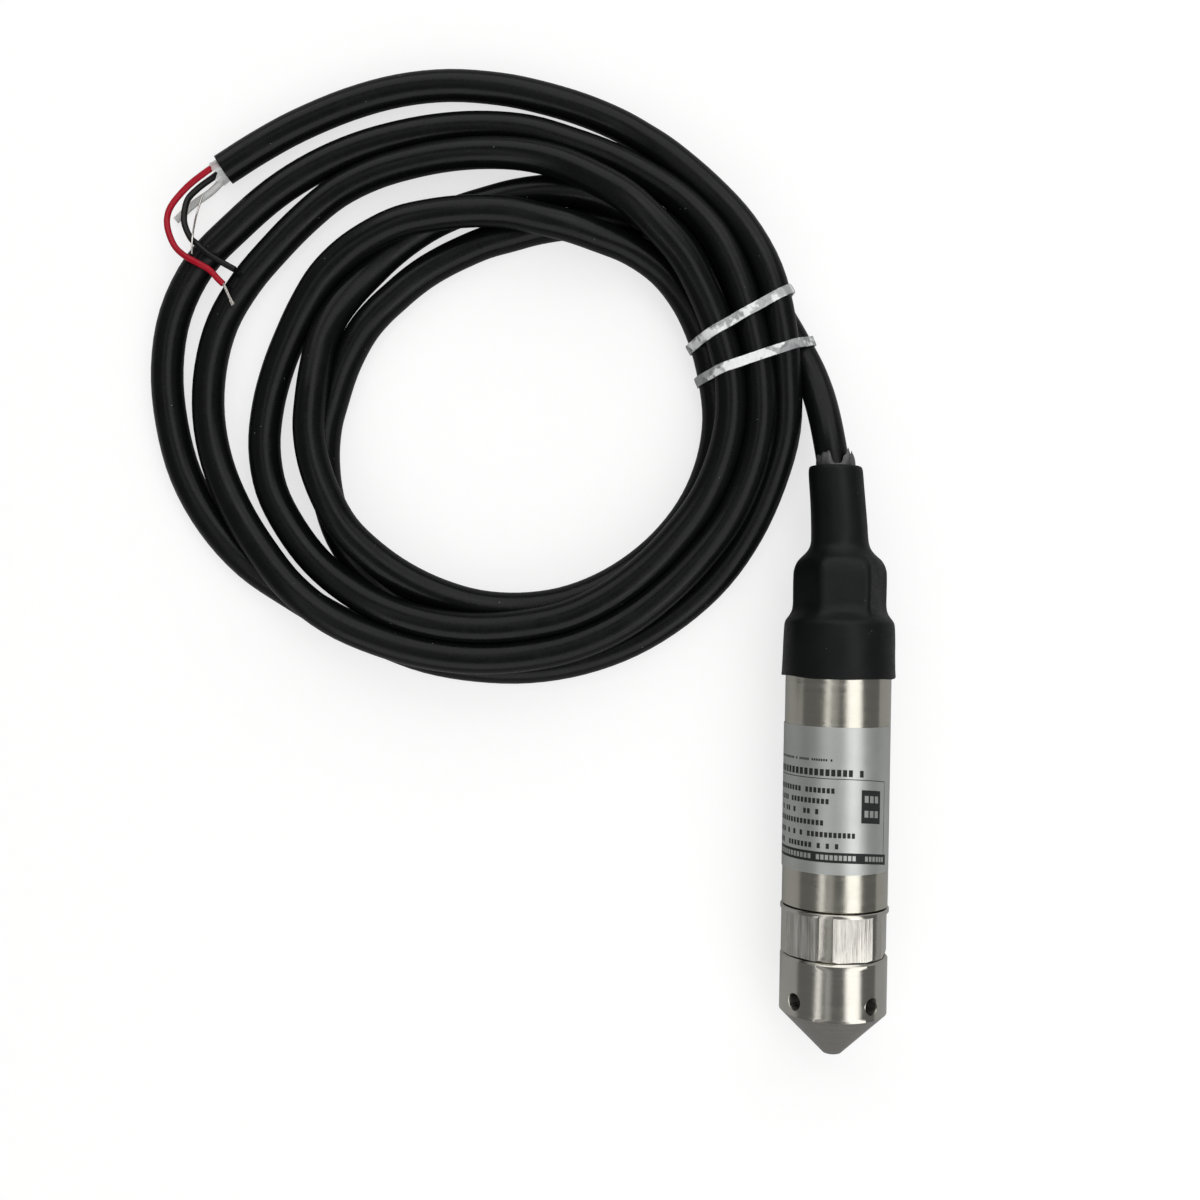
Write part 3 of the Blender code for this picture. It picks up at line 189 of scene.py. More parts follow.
# Each turn from 10 to 360 degrees round the coil's middle, in tens: its radii and heights in mm
COIL_TURNS = [
    ([80.8, 76.2, 70.1, 62.0, 53.2, 46.6, 41.4, 37.3, 34.8, 32.8, 31.6, 31.0, 30.8, 31.1, 32.2, 33.7,
      35.3, 37.4, 40.1, 44.1, 48.3, 52.8, 57.4, 61.1, 64.5, 67.6, 69.7, 71.1, 72.3, 73.1, 73.7, 74.1,
      73.9, 73.1, 71.8, 69.8],
     [5.1, 4.9, 4.3, *[LYING] * 31, 4.5, 5.0]),
    ([68.1, 66.0, 63.0, 60.2, 57.4, 54.6, 51.4, 48.2, 45.3, 43.5, 42.1, 41.0, 40.4, 40.3, 41.0, 42.1,
      43.0, 43.6, 45.0, 47.4, 49.7, 52.0, 54.5, 56.1, 57.8, 59.6, 61.5, 63.0, 64.3, 65.1, 65.6, 65.9,
      65.8, 65.0, 63.5, 61.1],
     [5.2, 6.2, 8.2, 10.1, 9.8, 8.0, 6.4, 5.1, 4.5, *[LYING] * 4, 4.5, 5.3, 6.3, 7.5, 9.0, 10.4, 11.3,
      11.8, 11.8, 11.3, 10.1, 8.6, 7.1, 5.9, 4.9, 4.4, *[LYING] * 5, 4.5, 5.0]),
    ([59.1, 57.1, 54.5, 50.7, 46.5, 43.8, 42.0, 41.6, 41.3, 41.4, 42.2, 43.8, 45.4, 47.3, 48.9, 50.0,
      51.6, 54.2, 57.5, 61.0, 63.7, 65.0, 66.2, 66.9, 67.3, 67.4, 67.5, 67.6, 68.1, 67.9, 67.4, 67.1,
      67.3, 67.0, 66.2, 64.6],
     [5.5, 6.2, 7.3, 8.7, 10.4, 11.5, 11.8, 11.5, 11.4, 11.7, 11.8, 11.3, 10.0, 8.5, 7.4, 6.5, 5.9, 5.6,
      5.5, 5.8, 6.3, 7.2, 8.2, 9.6, 11.1, 11.7, 11.6, 11.3, 11.3, 11.5, 11.7, 11.8, 11.8, 11.8, 12.0, 12.5]),
    ([62.5, 60.9, 59.8, 58.2, 57.7, 57.2, 57.4, 57.4, 57.4, 57.8, 58.7, 60.3, 61.8, 62.8, 64.5, 67.4,
      70.4, 72.2, 73.4, 73.9, 74.0, 74.3, 75.3, 75.7, 75.3, 75.2, 75.3, 75.5, 75.9, 75.8, 75.3, 75.0,
      75.2, 74.9, 74.1, 72.5],
     [13.3, 14.3, 15.7, 16.9, 16.6, 14.7, 12.4, 10.4, 8.6, 7.2, 6.1, 5.1, 4.6, 4.3, 4.2, 4.2, 4.4, 4.9,
      5.6, 6.7, 8.0, 9.6, 11.3, 11.9, 11.9, 11.8, 11.6, 11.3, 11.3, 11.5, 11.7, 11.9, 11.9, 11.9, 12.0,
      12.2]),
    ([71.1, 70.7, 70.3, 69.0, 67.1, 65.8, 65.0, 65.3, 65.4, 65.8, 66.7, 68.4, 70.6, 73.2, 76.2, 80.6,
      83.2, 83.9, 83.7, 83.4, 82.1, 80.1, 77.3, 76.0, 75.8, 76.8, 77.7, 79.0, 80.2, 81.2, 81.8, 82.2,
      81.9, 81.4, 81.1, 79.6],
     [12.3, 12.2, 11.6, 10.0, 8.5, 7.0, 5.8, 5.1, 4.5, *[LYING] * 21, 4.4, 5.0, 5.7, 6.8, 8.2, 9.9]),
    ([78.9, 78.9, 77.9, 76.3, 75.4],
     [11.8, 11.4, 9.8, 8.1, 6.7]),
]
TAIL_ROUTE = [
    (-52.9, 162.5, 5.4), (-60.1, 166.6, 4.6), (-69.5, 170.4, LYING), (-80.4, 173.4, LYING),
    (-90.9, 175.3, LYING), (-104.2, 176.0, LYING), (-117.5, 174.4, LYING), (-130.8, 170.5, LYING),
    (-144.2, 164.6, LYING), (-154.7, 158.6, LYING), (-163.9, 152.5, LYING),
]


def metres(points):
    return [Vector(point) * MM for point in points]


def flowing(points, parts):
    """A smooth route through the points, each stretch between two of them cut in equal parts."""
    knots = [points[0] * 2.0 - points[1], *points, points[-1] * 2.0 - points[-2]]
    route = []
    for a, b, c, d in zip(knots, knots[1:], knots[2:], knots[3:]):
        for i in range(parts):
            t = i / parts
            route.append(
                0.5 * (2.0 * b + (c - a) * t + (2.0 * a - 5.0 * b + 4.0 * c - d) * t ** 2
                       + (3.0 * b - a - 3.0 * c + d) * t ** 3)
            )
    route.append(points[-1].copy())
    return route


def coil_stations():
    stations = []
    for turn in COIL_TURNS:
        for step, (radius, height) in enumerate(zip(*turn)):
            angle = math.radians(10.0 * (step + 1))
            x = COIL_MIDDLE[0] + radius * math.cos(angle)
            y = COIL_MIDDLE[1] + radius * math.sin(angle)
            stations.append((x, y, height))
    return metres(stations)


def add_piece(name, data, *materials, body="probe"):
    """A new piece in the scene that rides on a body of the part."""
    piece = bpy.data.objects.new(name, data)
    for material in materials:
        data.materials.append(material)
    scene.collection.objects.link(piece)
    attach(piece, body)
    return piece


def cord_curve(name, route, radius, sides):
    curve = bpy.data.curves.new(name, "CURVE")
    curve.dimensions = "3D"
    curve.bevel_depth = radius
    curve.bevel_resolution = sides
    curve.use_fill_caps = True
    spline = curve.splines.new("POLY")
    spline.points.add(len(route) - 1)
    for point, place in zip(spline.points, route):
        point.co = (*place, 1.0)
    spline.use_smooth = True
    return curve


def effect_group(name, inputs, outputs):
    """An empty shader node group, the sockets that it is given and the node for its results."""
    group = bpy.data.node_groups.new(name, "ShaderNodeTree")
    for label in inputs:
        kind = "NodeSocketVector" if label in ("Vector", "Stretch") else "NodeSocketFloat"
        group.interface.new_socket(name=label, in_out="INPUT", socket_type=kind)
    for label in outputs:
        group.interface.new_socket(name=label, in_out="OUTPUT", socket_type="NodeSocketFloat")
    given = group.nodes.new("NodeGroupInput").outputs
    return group, given, group.nodes.new("NodeGroupOutput")


def cloud_noise(tree, place, scale, **sockets):
    named = {key.title(): value for key, value in sockets.items()}
    return put(tree, "ShaderNodeTexNoise", {"Vector": place, "Scale": scale, **named}).outputs["Fac"]


# Grain that is drawn out along one direction: machining and brushing marks, draw lines, fibres
drawn_grain, given, result = effect_group(
    "drawn_grain", ["Vector", "Stretch", "Contrast"], ["Lines", "Clouds"],
)
stretched = put(drawn_grain, "ShaderNodeVectorMath", {0: given["Vector"], 1: given["Stretch"]},
                operation="MULTIPLY").outputs[0]
fine = cloud_noise(drawn_grain, stretched, 1.0, detail=3.0, roughness=0.65)
coarse = cloud_noise(drawn_grain, stretched, 0.21, detail=2.0, roughness=0.5)
both = reckon(drawn_grain, "ADD", reckon(drawn_grain, "MULTIPLY", fine, 0.6),
              reckon(drawn_grain, "MULTIPLY", coarse, 0.4))
centred = reckon(drawn_grain, "SUBTRACT", both, 0.5)
feed(drawn_grain, result, {
    "Lines": reckon(drawn_grain, "ADD", reckon(drawn_grain, "MULTIPLY", centred, given["Contrast"]), 0.5),
    "Clouds": cloud_noise(drawn_grain, given["Vector"], 180.0, detail=3.0, roughness=0.6),
})

# Marks of handling: soft smears, and specks of dust that lie on the upper sides
handling, given, result = effect_group("handling_marks", ["Vector", "Dust"], ["Smear Mask", "Dust Mask"])
smear = cloud_noise(handling, given["Vector"], 95.0, detail=4.0, roughness=0.6, distortion=0.6)
specks = put(handling, "ShaderNodeTexVoronoi", {"Vector": given["Vector"], "Scale": 420.0})
speck = reckon(handling, "LESS_THAN", specks.outputs["Distance"], 0.055)
some = reckon(handling, "GREATER_THAN", cloud_noise(handling, given["Vector"], 260.0), 0.6)
facing = put(handling, "ShaderNodeSeparateXYZ", {0: put(handling, "ShaderNodeNewGeometry").outputs["Normal"]})
upper = spread(handling, facing.outputs["Z"], 0.2, 0.8)
dust = reckon(handling, "MULTIPLY", reckon(handling, "MULTIPLY", speck, some), upper)
feed(handling, result, {
    "Smear Mask": spread(handling, smear, 0.5, 0.72),
    "Dust Mask": reckon(handling, "MULTIPLY", dust, given["Dust"]),
})


def use_group(tree, group, **sockets):
    """A group laid over a piece; gives its outputs by name."""
    named = {key.replace("_", " ").title(): value for key, value in sockets.items()}
    return put(tree, "ShaderNodeGroup", named, node_tree=group).outputs


def lay_grain(tree, fineness, contrast):
    """The lines and the clouds of a grain with this fineness across and along the probe."""
    across, along = fineness
    grain = use_group(tree, drawn_grain, vector=place_on_object(tree), stretch=(across, along, across),
                      contrast=contrast)
    return grain["Lines"], grain["Clouds"]


def lay_marks(tree, dust):
    marks = use_group(tree, handling, vector=place_on_object(tree), dust=dust)
    return marks["Smear Mask"], marks["Dust Mask"]


def raise_bumps(tree, shader, height, distance, strength=1.0):
    bump = put(tree, "ShaderNodeBump", {"Height": height, "Distance": distance, "Strength": strength})
    feed(tree, shader, {"Normal": bump.outputs["Normal"]})


def satin_finish(name, dark, light, smooth, rough, fineness, contrast=1.2, bump=0.00003, dust=0.6, **sockets):
    """A plastic or rubber with draw lines, smears and a little dust."""
    material, tree, shader = new_finish(name, **sockets)
    lines, clouds = lay_grain(tree, fineness, contrast)
    smears, specks = lay_marks(tree, dust)
    shade = blend_colours(tree, clouds, dark, light)
    plain = spread(tree, lines, 0.3, 0.7, smooth, rough)
    feed(tree, shader, {
        "Base Color": blend_colours(tree, specks, shade, (0.3, 0.3, 0.29)),
        "Roughness": reckon(tree, "MULTIPLY_ADD", smears, 0.08, plain),
    })
    raise_bumps(tree, shader, lines, bump)
    return material


cable_jacket = satin_finish(
    "cable_jacket", (0.0028, 0.003, 0.0033), (0.0052, 0.0056, 0.006), 0.2, 0.3, (900.0, 900.0),
    specular_ior_level=0.18,
)
cable_route = flowing(metres(LEAD_ROUTE) + coil_stations() + metres(TAIL_ROUTE), 4)
cable = add_piece("cable", cord_curve("cable", cable_route, CABLE_RADIUS, 8), cable_jacket)
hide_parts("cable_lead", "cable_coil", "cable_tail")


# The two tie bands: thin glossy white tape, 2.5 mm wide, drawn round the crossing turns at the
# gland's side, each with its square lock under the turns. The tape is creased where it was pulled
# tight, so it hugs the outline of the strands that it crosses.
TIE_FAN_POINT = (-82.9 * MM, 81.1 * MM)
TIE_WIDTH = 2.5 * MM
TIE_THICKNESS = 0.55 * MM
TIE_CLEARANCE = 0.3 * MM
TIE_FLOOR = 0.15 * MM
LOCK_SIZE = (4.8 * MM, 4.4 * MM, 2.6 * MM)
# Strands nearer the fan point than this, or behind it, lie elsewhere in the coil and are not tied
TIE_REACH_START = 20.0 * MM
TIE_STEPS = 150
TIE_SMOOTHINGS = 4
STRAND_SAMPLES = 40
# Band: its angle in degrees, and how far its lock lies from the fan point
TIES = {"tie_lower": (20.4, 69.4 * MM), "tie_upper": (30.4, 69.6 * MM)}


def circle_angles(steps):
    return [2.0 * math.pi * k / steps for k in range(steps)]


def mesh_of(name, shape, sharp=None):
    """The drawn shape as a smooth mesh, creased where it bends by more than sharp degrees."""
    mesh = bpy.data.meshes.new(name)
    shape.to_mesh(mesh)
    shape.free()
    mesh.shade_smooth()
    if sharp:
        mesh.set_sharp_from_angle(angle=math.radians(sharp))
    return mesh


def fan_ways(angle):
    """The fan point, and the ways along and across a tie's upright plane."""
    along = Vector((math.cos(angle), math.sin(angle), 0.0))
    across = Vector((-math.sin(angle), math.cos(angle), 0.0))
    return Vector((*TIE_FAN_POINT, 0.0)), along, across


def strands_across(route, angle):
    """Where the cable crosses a tie's upright plane: distance from the fan point, height, slant."""
    start, along, across = fan_ways(angle)
    strands = []
    for p, q in zip(route, route[1:]):
        before = (p - start).dot(across)
        after = (q - start).dot(across)
        if before * after <= 0.0 and before != after and (p - start).dot(along) > TIE_REACH_START:
            place = p.lerp(q, before / (before - after))
            slant = abs((q - p).normalized().dot(across))
            strands.append(((place - start).dot(along), place.z, slant))
    return strands


def outline_round(points):
    """The convex outline round flat points, running anticlockwise."""
    def turn(o, a, b):
        return (a[0] - o[0]) * (b[1] - o[1]) - (a[1] - o[1]) * (b[0] - o[0])

    ordered = sorted(set(points))
    chains = []
    for sequence in (ordered, ordered[::-1]):
        chain = []
        for point in sequence:
            while len(chain) > 1 and turn(chain[-2], chain[-1], point) <= 0.0:
                chain.pop()
            chain.append(point)
        chains.append(chain[:-1])
    return chains[0] + chains[1]


def evenly(outline, count):
    """Points at equal distances along a closed outline."""
    corners = [Vector(point) for point in outline]
    corners.append(corners[0].copy())
    total = sum((b - a).length for a, b in zip(corners, corners[1:]))
    spacing = total / count
    places = []
    walked = 0.0
    for a, b in zip(corners, corners[1:]):
        run = (b - a).length
        while len(places) < count and walked + run >= spacing * len(places):
            places.append(a.lerp(b, (spacing * len(places) - walked) / max(run, 1e-9)))
        walked += run
    return places


def tie_mesh(name, angle, lock_place):
    ring = []
    reach = CABLE_RADIUS + TIE_CLEARANCE
    for distance, height, slant in strands_across(cable_route, angle):
        for turn in circle_angles(STRAND_SAMPLES):
            flat_reach = reach * math.cos(turn) / max(slant, 0.6)
            ring.append((distance + flat_reach, height + reach * math.sin(turn)))
    path = evenly(outline_round(ring), TIE_STEPS)
    count = len(path)
    for _ in range(TIE_SMOOTHINGS):
        path = [(path[i - 1] + path[i] * 2.0 + path[(i + 1) % count]) / 4.0 for i in range(count)]
    start, along, across = fan_ways(angle)
    chance = random.Random(name)
    shift = chance.uniform(0.0, 50.0)
    shape = bmesh.new()
    columns = 6
    inner, outer = [], []
    for i, place in enumerate(path):
        run = (path[(i + 1) % count] - path[i - 1]).normalized()
        out = Vector((run.y, -run.x))
        rows = ([], [])
        for j in range(columns + 1):
            side = j / columns - 0.5
            crinkle = noise.noise(Vector((i * 0.35 + shift, side * 1.6, 0.0))) * 0.16 * MM
            crinkle += noise.noise(Vector((i * 1.1 + shift, side * 3.0, 5.0))) * 0.07 * MM
            wander = noise.noise(Vector((i * 0.09, shift, 2.0))) * 0.25 * MM
            lift = max(crinkle, -0.1 * MM)
            for depth, row in ((0.0, rows[0]), (TIE_THICKNESS, rows[1])):
                flat = place + out * (depth + lift)
                height = max(flat.y, TIE_FLOOR + (TIE_THICKNESS - depth))
                point = start + along * flat.x + across * (side * TIE_WIDTH + wander)
                row.append(shape.verts.new((point.x, point.y, height)))
        inner.append(rows[0])
        outer.append(rows[1])
    for i in range(count):
        k = (i + 1) % count
        for j in range(columns):
            shape.faces.new((outer[i][j], outer[k][j], outer[k][j + 1], outer[i][j + 1]))
            shape.faces.new((inner[i][j + 1], inner[k][j + 1], inner[k][j], inner[i][j]))
        shape.faces.new((inner[i][0], inner[k][0], outer[k][0], outer[i][0]))
        shape.faces.new((outer[i][columns], outer[k][columns], inner[k][columns], inner[i][columns]))
    lock_height = TIE_FLOOR + TIE_THICKNESS / 2.0 + LOCK_SIZE[2] / 2.0
    lock_turn = Matrix.Translation(start + along * lock_place + Vector((0.0, 0.0, lock_height)))
    lock_turn = lock_turn @ Matrix.Rotation(angle, 4, "Z")
    lock = bmesh.ops.create_cube(shape, size=1.0, matrix=lock_turn @ Matrix.Diagonal((*LOCK_SIZE, 1.0)))
    lock_edges = {edge for vert in lock["verts"] for edge in vert.link_edges}
    bmesh.ops.bevel(shape, geom=list(lock_edges), offset=0.5 * MM, segments=3, profile=0.5, affect="EDGES")
    bmesh.ops.recalc_face_normals(shape, faces=shape.faces)
    return mesh_of(name, shape, 35.0)


# White plastic tape, its colour painted with light: grey cells of random tone are painted reflections of its
# crinkled facets, and white blotches are painted glints
tie_plastic, tree, shader = new_finish(
    "tie_plastic", (0.6, 0.61, 0.62), 0.2, coat_weight=0.6, coat_roughness=0.08,
)
place = place_on_object(tree)
lines, _ = lay_grain(tree, (500.0, 500.0), 2.2)
facets = put(tree, "ShaderNodeTexVoronoi", {"Vector": place, "Scale": 360.0, "Randomness": 0.9})
# Painted facet reflections: each crinkle cell gets its own grey
painted_facet_tone = put(tree, "ShaderNodeSeparateColor", {0: facets.outputs["Color"]}).outputs[0]
painted_facet_greys = blend_colours(tree, painted_facet_tone, (0.22, 0.23, 0.235), (0.46, 0.47, 0.475))
# Painted glints: blotches of white laid over the greys
painted_glint_mask = spread(tree, cloud_noise(tree, place, 130.0, detail=3.0, roughness=0.7), 0.47, 0.53)
feed(tree, shader, {
    "Base Color": blend_colours(tree, painted_glint_mask, painted_facet_greys, (0.9, 0.91, 0.91)),
    "Roughness": spread(tree, lines, 0.3, 0.7, 0.08, 0.24),
})
raise_bumps(tree, shader, reckon(tree, "MULTIPLY_ADD", facets.outputs["Distance"], 1.3, lines), 0.0006, 0.8)
for name, (degrees, lock_place) in TIES.items():
    band = add_piece(f"{name}_band", tie_mesh(name, math.radians(degrees), lock_place), tie_plastic)
    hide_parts(name)


# The cable's cut end: the jacket is cut square round a clear inner film. A red and a black core,
# a milky vent tube and a bare drain wire come out of it and lie over the outer turns; the red one
# ends in bare twisted strands.
CORE_RADIUS = 0.83 * MM
VENT_RADIUS = 0.95 * MM
VENT_BORE = 0.55 * MM
VENT_SIDES = 20
DRAIN_RADIUS = 0.25 * MM
RED_ROUTE = [
    (-162.4, 153.2, 5.2), (-165.2, 153.4, 5.5), (-169.4, 150.6, 5.5), (-173.4, 147.2, 5.4),
    (-176.9, 142.7, 5.7), (-178.0, 139.1, 6.2), (-177.4, 135.3, 7.0), (-175.2, 131.0, 8.4),
    (-172.0, 128.1, 10.2), (-168.4, 126.1, 11.2), (-165.3, 124.4, 11.0), (-163.1, 122.1, 10.4),
    (-161.8, 120.9, 10.2),
]
STRAND_ROUTE = [(-162.3, 121.4, 10.2), (-161.5, 120.4, 10.2), (-160.4, 118.0, 9.9), (-159.3, 115.6, 9.6)]
BLACK_ROUTE = [
    (-162.6, 151.4, 2.8), (-165.0, 152.2, 2.8), (-167.3, 150.6, 3.0), (-170.4, 147.7, 4.0),
    (-172.9, 144.6, 4.8), (-173.6, 141.2, 5.6), (-173.3, 137.5, 6.6), (-171.2, 133.4, 8.4),
    (-169.0, 131.4, 9.4), (-166.0, 128.8, 10.0), (-163.2, 127.1, 10.0), (-160.8, 125.8, 9.9),
    (-158.9, 124.8, 9.9),
]
VENT_ROUTE = [
    (-161.5, 151.7, 4.0), (-163.5, 150.7, 3.6), (-167.6, 147.4, 1.9), (-172.7, 143.9, 1.3),
    (-177.2, 139.6, 1.3),
]
DRAIN_ROUTE = [
    (-169.7, 145.9, 3.1), (-170.2, 143.6, 3.6), (-170.6, 140.1, 5.2), (-170.3, 136.6, 8.0),
    (-170.0, 133.4, 10.3), (-169.9, 130.6, 11.1), (-169.8, 128.3, 11.3),
]
CUT_MOUTH = Vector(TAIL_ROUTE[-1]) * MM
CUT_WAY = Vector((-9.2, -6.1, 0.0)).normalized()


def across_ways(way):
    side = way.cross(Vector((0.0, 0.0, 1.0))).normalized()
    return side, side.cross(way).normalized()


def ways_at(route, i):
    """The two ways across a route at one of its points."""
    before, after = route[max(i - 1, 0)], route[min(i + 1, len(route) - 1)]
    return across_ways((after - before).normalized())


def circle_at(place, side, up, radius, steps):
    return [place + (side * math.cos(a) + up * math.sin(a)) * radius for a in circle_angles(steps)]


def closed_loft(name, loops, sharp):
    """Faces between rings of points, the last ring joined to the first."""
    shape = bmesh.new()
    rows = [[shape.verts.new(point) for point in loop] for loop in loops]
    count = len(rows[0])
    for here, there in zip(rows, rows[1:] + rows[:1]):
        for i in range(count):
            j = (i + 1) % count
            shape.faces.new((here[i], there[i], there[j], here[j]))
    bmesh.ops.remove_doubles(shape, verts=shape.verts, dist=0.000001)
    bmesh.ops.recalc_face_normals(shape, faces=shape.faces)
    return mesh_of(name, shape, sharp)


def twisted_strands(route, count, strand_radius, circle, pitch):
    """Fine bare wires, twisted round one route, that splay a little at the end."""
    shape = bmesh.new()
    sides = 6
    chance = random.Random(4)
    for strand in range(count):
        reach = 0.0 if strand == 0 else circle
        first = 2.0 * math.pi * strand / max(count - 1, 1)
        splay = chance.uniform(0.6, 1.4)
        walked = 0.0
        rings = []
        for i, place in enumerate(route):
            walked += (route[i] - route[i - 1]).length if i else 0.0
            side, up = ways_at(route, i)
            turn = first + 2.0 * math.pi * walked / pitch
            opened = reach * (1.0 + splay * max(0.0, i / len(route) - 0.7) * 2.5)
            centre = place + (side * math.cos(turn) + up * math.sin(turn)) * opened
            ring = circle_at(centre, side, up, strand_radius, sides)
            rings.append([shape.verts.new(point) for point in ring])
        for here, there in zip(rings, rings[1:]):
            for j in range(sides):
                k = (j + 1) % sides
                shape.faces.new((here[j], here[k], there[k], there[j]))
        shape.faces.new(rings[0][::-1])
        shape.faces.new(rings[-1])
    bmesh.ops.recalc_face_normals(shape, faces=shape.faces)
    return mesh_of("strands", shape)


def core_finish(name, dark, light, roughness, **sockets):
    material, tree, shader = new_finish(name, light, roughness, specular_ior_level=0.25, **sockets)
    lines, clouds = lay_grain(tree, (1500.0, 1500.0), 1.2)
    feed(tree, shader, {
        "Base Color": blend_colours(tree, clouds, dark, light),
        "Roughness": spread(tree, lines, 0.3, 0.7, roughness - 0.06, roughness + 0.08),
    })
    raise_bumps(tree, shader, lines, 0.00002)
    return material


core_red = core_finish("core_red", (0.34, 0.002, 0.012), (0.46, 0.004, 0.022), 0.34)
core_black = core_finish("core_black", (0.003, 0.003, 0.0035), (0.006, 0.006, 0.0065), 0.34)
vent_milky = core_finish(
    "vent_milky", (0.7, 0.71, 0.7), (0.82, 0.83, 0.81), 0.3,
    subsurface_weight=0.3, subsurface_radius=(MM, MM, MM),
)
tinned_copper = core_finish("tinned_copper", (0.55, 0.5, 0.46), (0.74, 0.72, 0.7), 0.26, metallic=1.0)

for name, points, radius, finish, node, slot_name in (
    ("red_core", RED_ROUTE, CORE_RADIUS, core_red, "red_wire", "core_red"),
    ("black_core", BLACK_ROUTE, CORE_RADIUS, core_black, "black_wire", "core_black"),
    ("drain_strand", DRAIN_ROUTE, DRAIN_RADIUS, tinned_copper, "drain_wire", "tinned_copper"),
):
    piece = add_piece(name, cord_curve(name, flowing(metres(points), 8), radius, 5), finish)
    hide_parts(node)

strand_route = flowing(metres(STRAND_ROUTE), 9)
bare_strands = add_piece("bare_strands", twisted_strands(strand_route, 7, 0.13 * MM, 0.27 * MM, 5.0 * MM),
                         tinned_copper)
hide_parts("red_wire_strands")


def hose_mesh(name, route, outer, inner):
    """A tube with a real wall, open at both ends."""
    there = range(len(route))
    loops = []
    for radius, order in ((outer, there), (inner, reversed(there))):
        loops += [circle_at(route[i], *ways_at(route, i), radius, VENT_SIDES) for i in order]
    return closed_loft(name, loops, 40.0)


vent_route = flowing(metres(VENT_ROUTE), 8)
vent_hose = add_piece("vent_hose", hose_mesh("vent_hose", vent_route, VENT_RADIUS, VENT_BORE), vent_milky)
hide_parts("vent_tube")

# The clear film that was wrapped round the cores, torn off just outside the jacket
clear_film, tree, shader = new_finish("clear_film", (0.8, 0.82, 0.82), 0.16)
lines, clouds = lay_grain(tree, (900.0, 900.0), 1.5)
feed(tree, shader, {"Alpha": spread(tree, clouds, 0.35, 0.65, 0.35, 0.75)})
raise_bumps(tree, shader, lines, 0.0004)
FILM_RADIUS = 3.15 * MM
FILM_START = 1.2 * MM
FILM_REACH = 2.2 * MM


def torn_film():
    side, up = across_ways(CUT_WAY)
    shape = bmesh.new()
    columns, rows = 40, 7
    grid = []
    for turn in circle_angles(columns):
        reach = FILM_REACH + 1.9 * MM * noise.noise(Vector((math.cos(turn) * 2.2, math.sin(turn) * 2.2, 7.0)))
        line = []
        for j in range(rows):
            t = j / (rows - 1)
            fold = noise.noise(Vector((math.cos(turn) * 3.0, math.sin(turn) * 3.0, t * 2.0))) * 0.5 * MM * t
            centre = CUT_MOUTH + CUT_WAY * (reach * t - FILM_START * (1.0 - t))
            point = centre + (side * math.cos(turn) + up * math.sin(turn)) * (FILM_RADIUS + fold)
            point.z = max(point.z, 0.3 * MM)
            line.append(shape.verts.new(point))
        grid.append(line)
    for i in range(columns):
        k = (i + 1) % columns
        for j in range(rows - 1):
            shape.faces.new((grid[i][j], grid[k][j], grid[k][j + 1], grid[i][j + 1]))
    return mesh_of("torn_film", shape)


film = add_piece("torn_film", torn_film(), clear_film)


# The heat-shrink sleeve: soft black tube shrunk over the end of the steel tube, the gland's hexagon
# nut and the cable, so that the nut's corners show through it. It leans a little with the cable,
# and its lower rim is slightly flared and uneven.
PROBE_TIP = -75.675 * MM
AXIS_HEIGHT = 14.3 * MM
NUT_FLAT_SHARE = 10.55 / 12.06
NUT_TURN = math.radians(-3.0)
# The sleeve rounds the nut's corners off at this share of their reach
SLEEVE_CORNER_SHARE = 0.985
SLEEVE_WALL = 0.55
SLEEVE_START = 97.1
SLEEVE_STEPS = 144
# Station from the tip, radius, how far it is a hexagon, lean to the left, all in mm
SLEEVE_SECTIONS = [
    (97.1, 14.50, 0.0, 0.0), (97.5, 14.56, 0.0, 0.0), (98.6, 14.47, 0.0, 0.0), (103.0, 14.32, 0.0, 0.0),
    (106.2, 14.27, 0.0, 0.0), (109.8, 14.12, 0.0, 0.0), (111.1, 13.92, 0.0, 0.0), (112.0, 13.45, 0.1, 0.0),
    (113.0, 12.80, 0.35, 0.0), (114.2, 12.35, 0.75, 0.0), (115.8, 12.18, 1.0, 0.0), (118.0, 12.15, 1.0, 0.0),
    (123.0, 12.15, 1.0, 0.0), (124.6, 12.0, 0.95, 0.0), (126.2, 11.4, 0.75, 0.0), (127.4, 10.5, 0.5, 0.0),
    (128.3, 9.5, 0.3, 0.05), (129.2, 8.6, 0.15, 0.1), (130.3, 7.85, 0.05, 0.15), (131.8, 7.4, 0.0, 0.22),
    (134.0, 7.25, 0.0, 0.35), (136.0, 7.2, 0.0, 0.45), (141.0, 7.08, 0.0, 0.8), (146.0, 7.0, 0.0, 1.25),
    (149.0, 6.95, 0.0, 1.5), (150.4, 6.85, 0.0, 1.6), (151.1, 6.6, 0.0, 1.65), (151.35, 6.15, 0.0, 1.68),
]


def on_probe(radius, angle, station):
    """A place on the probe: the angle runs from straight up towards +X, the station from the tip."""
    return Vector((radius * math.sin(angle), PROBE_TIP + station, AXIS_HEIGHT + radius * math.cos(angle)))


def ring_on_probe(radius, station, steps):
    """A round ring on the probe's axis, its radius and station in mm."""
    return [on_probe(radius * MM, angle, station * MM) for angle in circle_angles(steps)]


def hexagon_reach(angle, flat_reach, corner_reach):
    """How far the nut's hexagon stands out at an angle, its corners rounded off."""
    from_flat = (angle - NUT_TURN + math.pi / 6.0) % (math.pi / 3.0) - math.pi / 6.0
    return min(corner_reach, flat_reach / math.cos(from_flat))


def round_noise(angle, scale, third):
    """Noise that runs on evenly round the probe."""
    return noise.noise(Vector((math.cos(angle) * scale, math.sin(angle) * scale, third)))


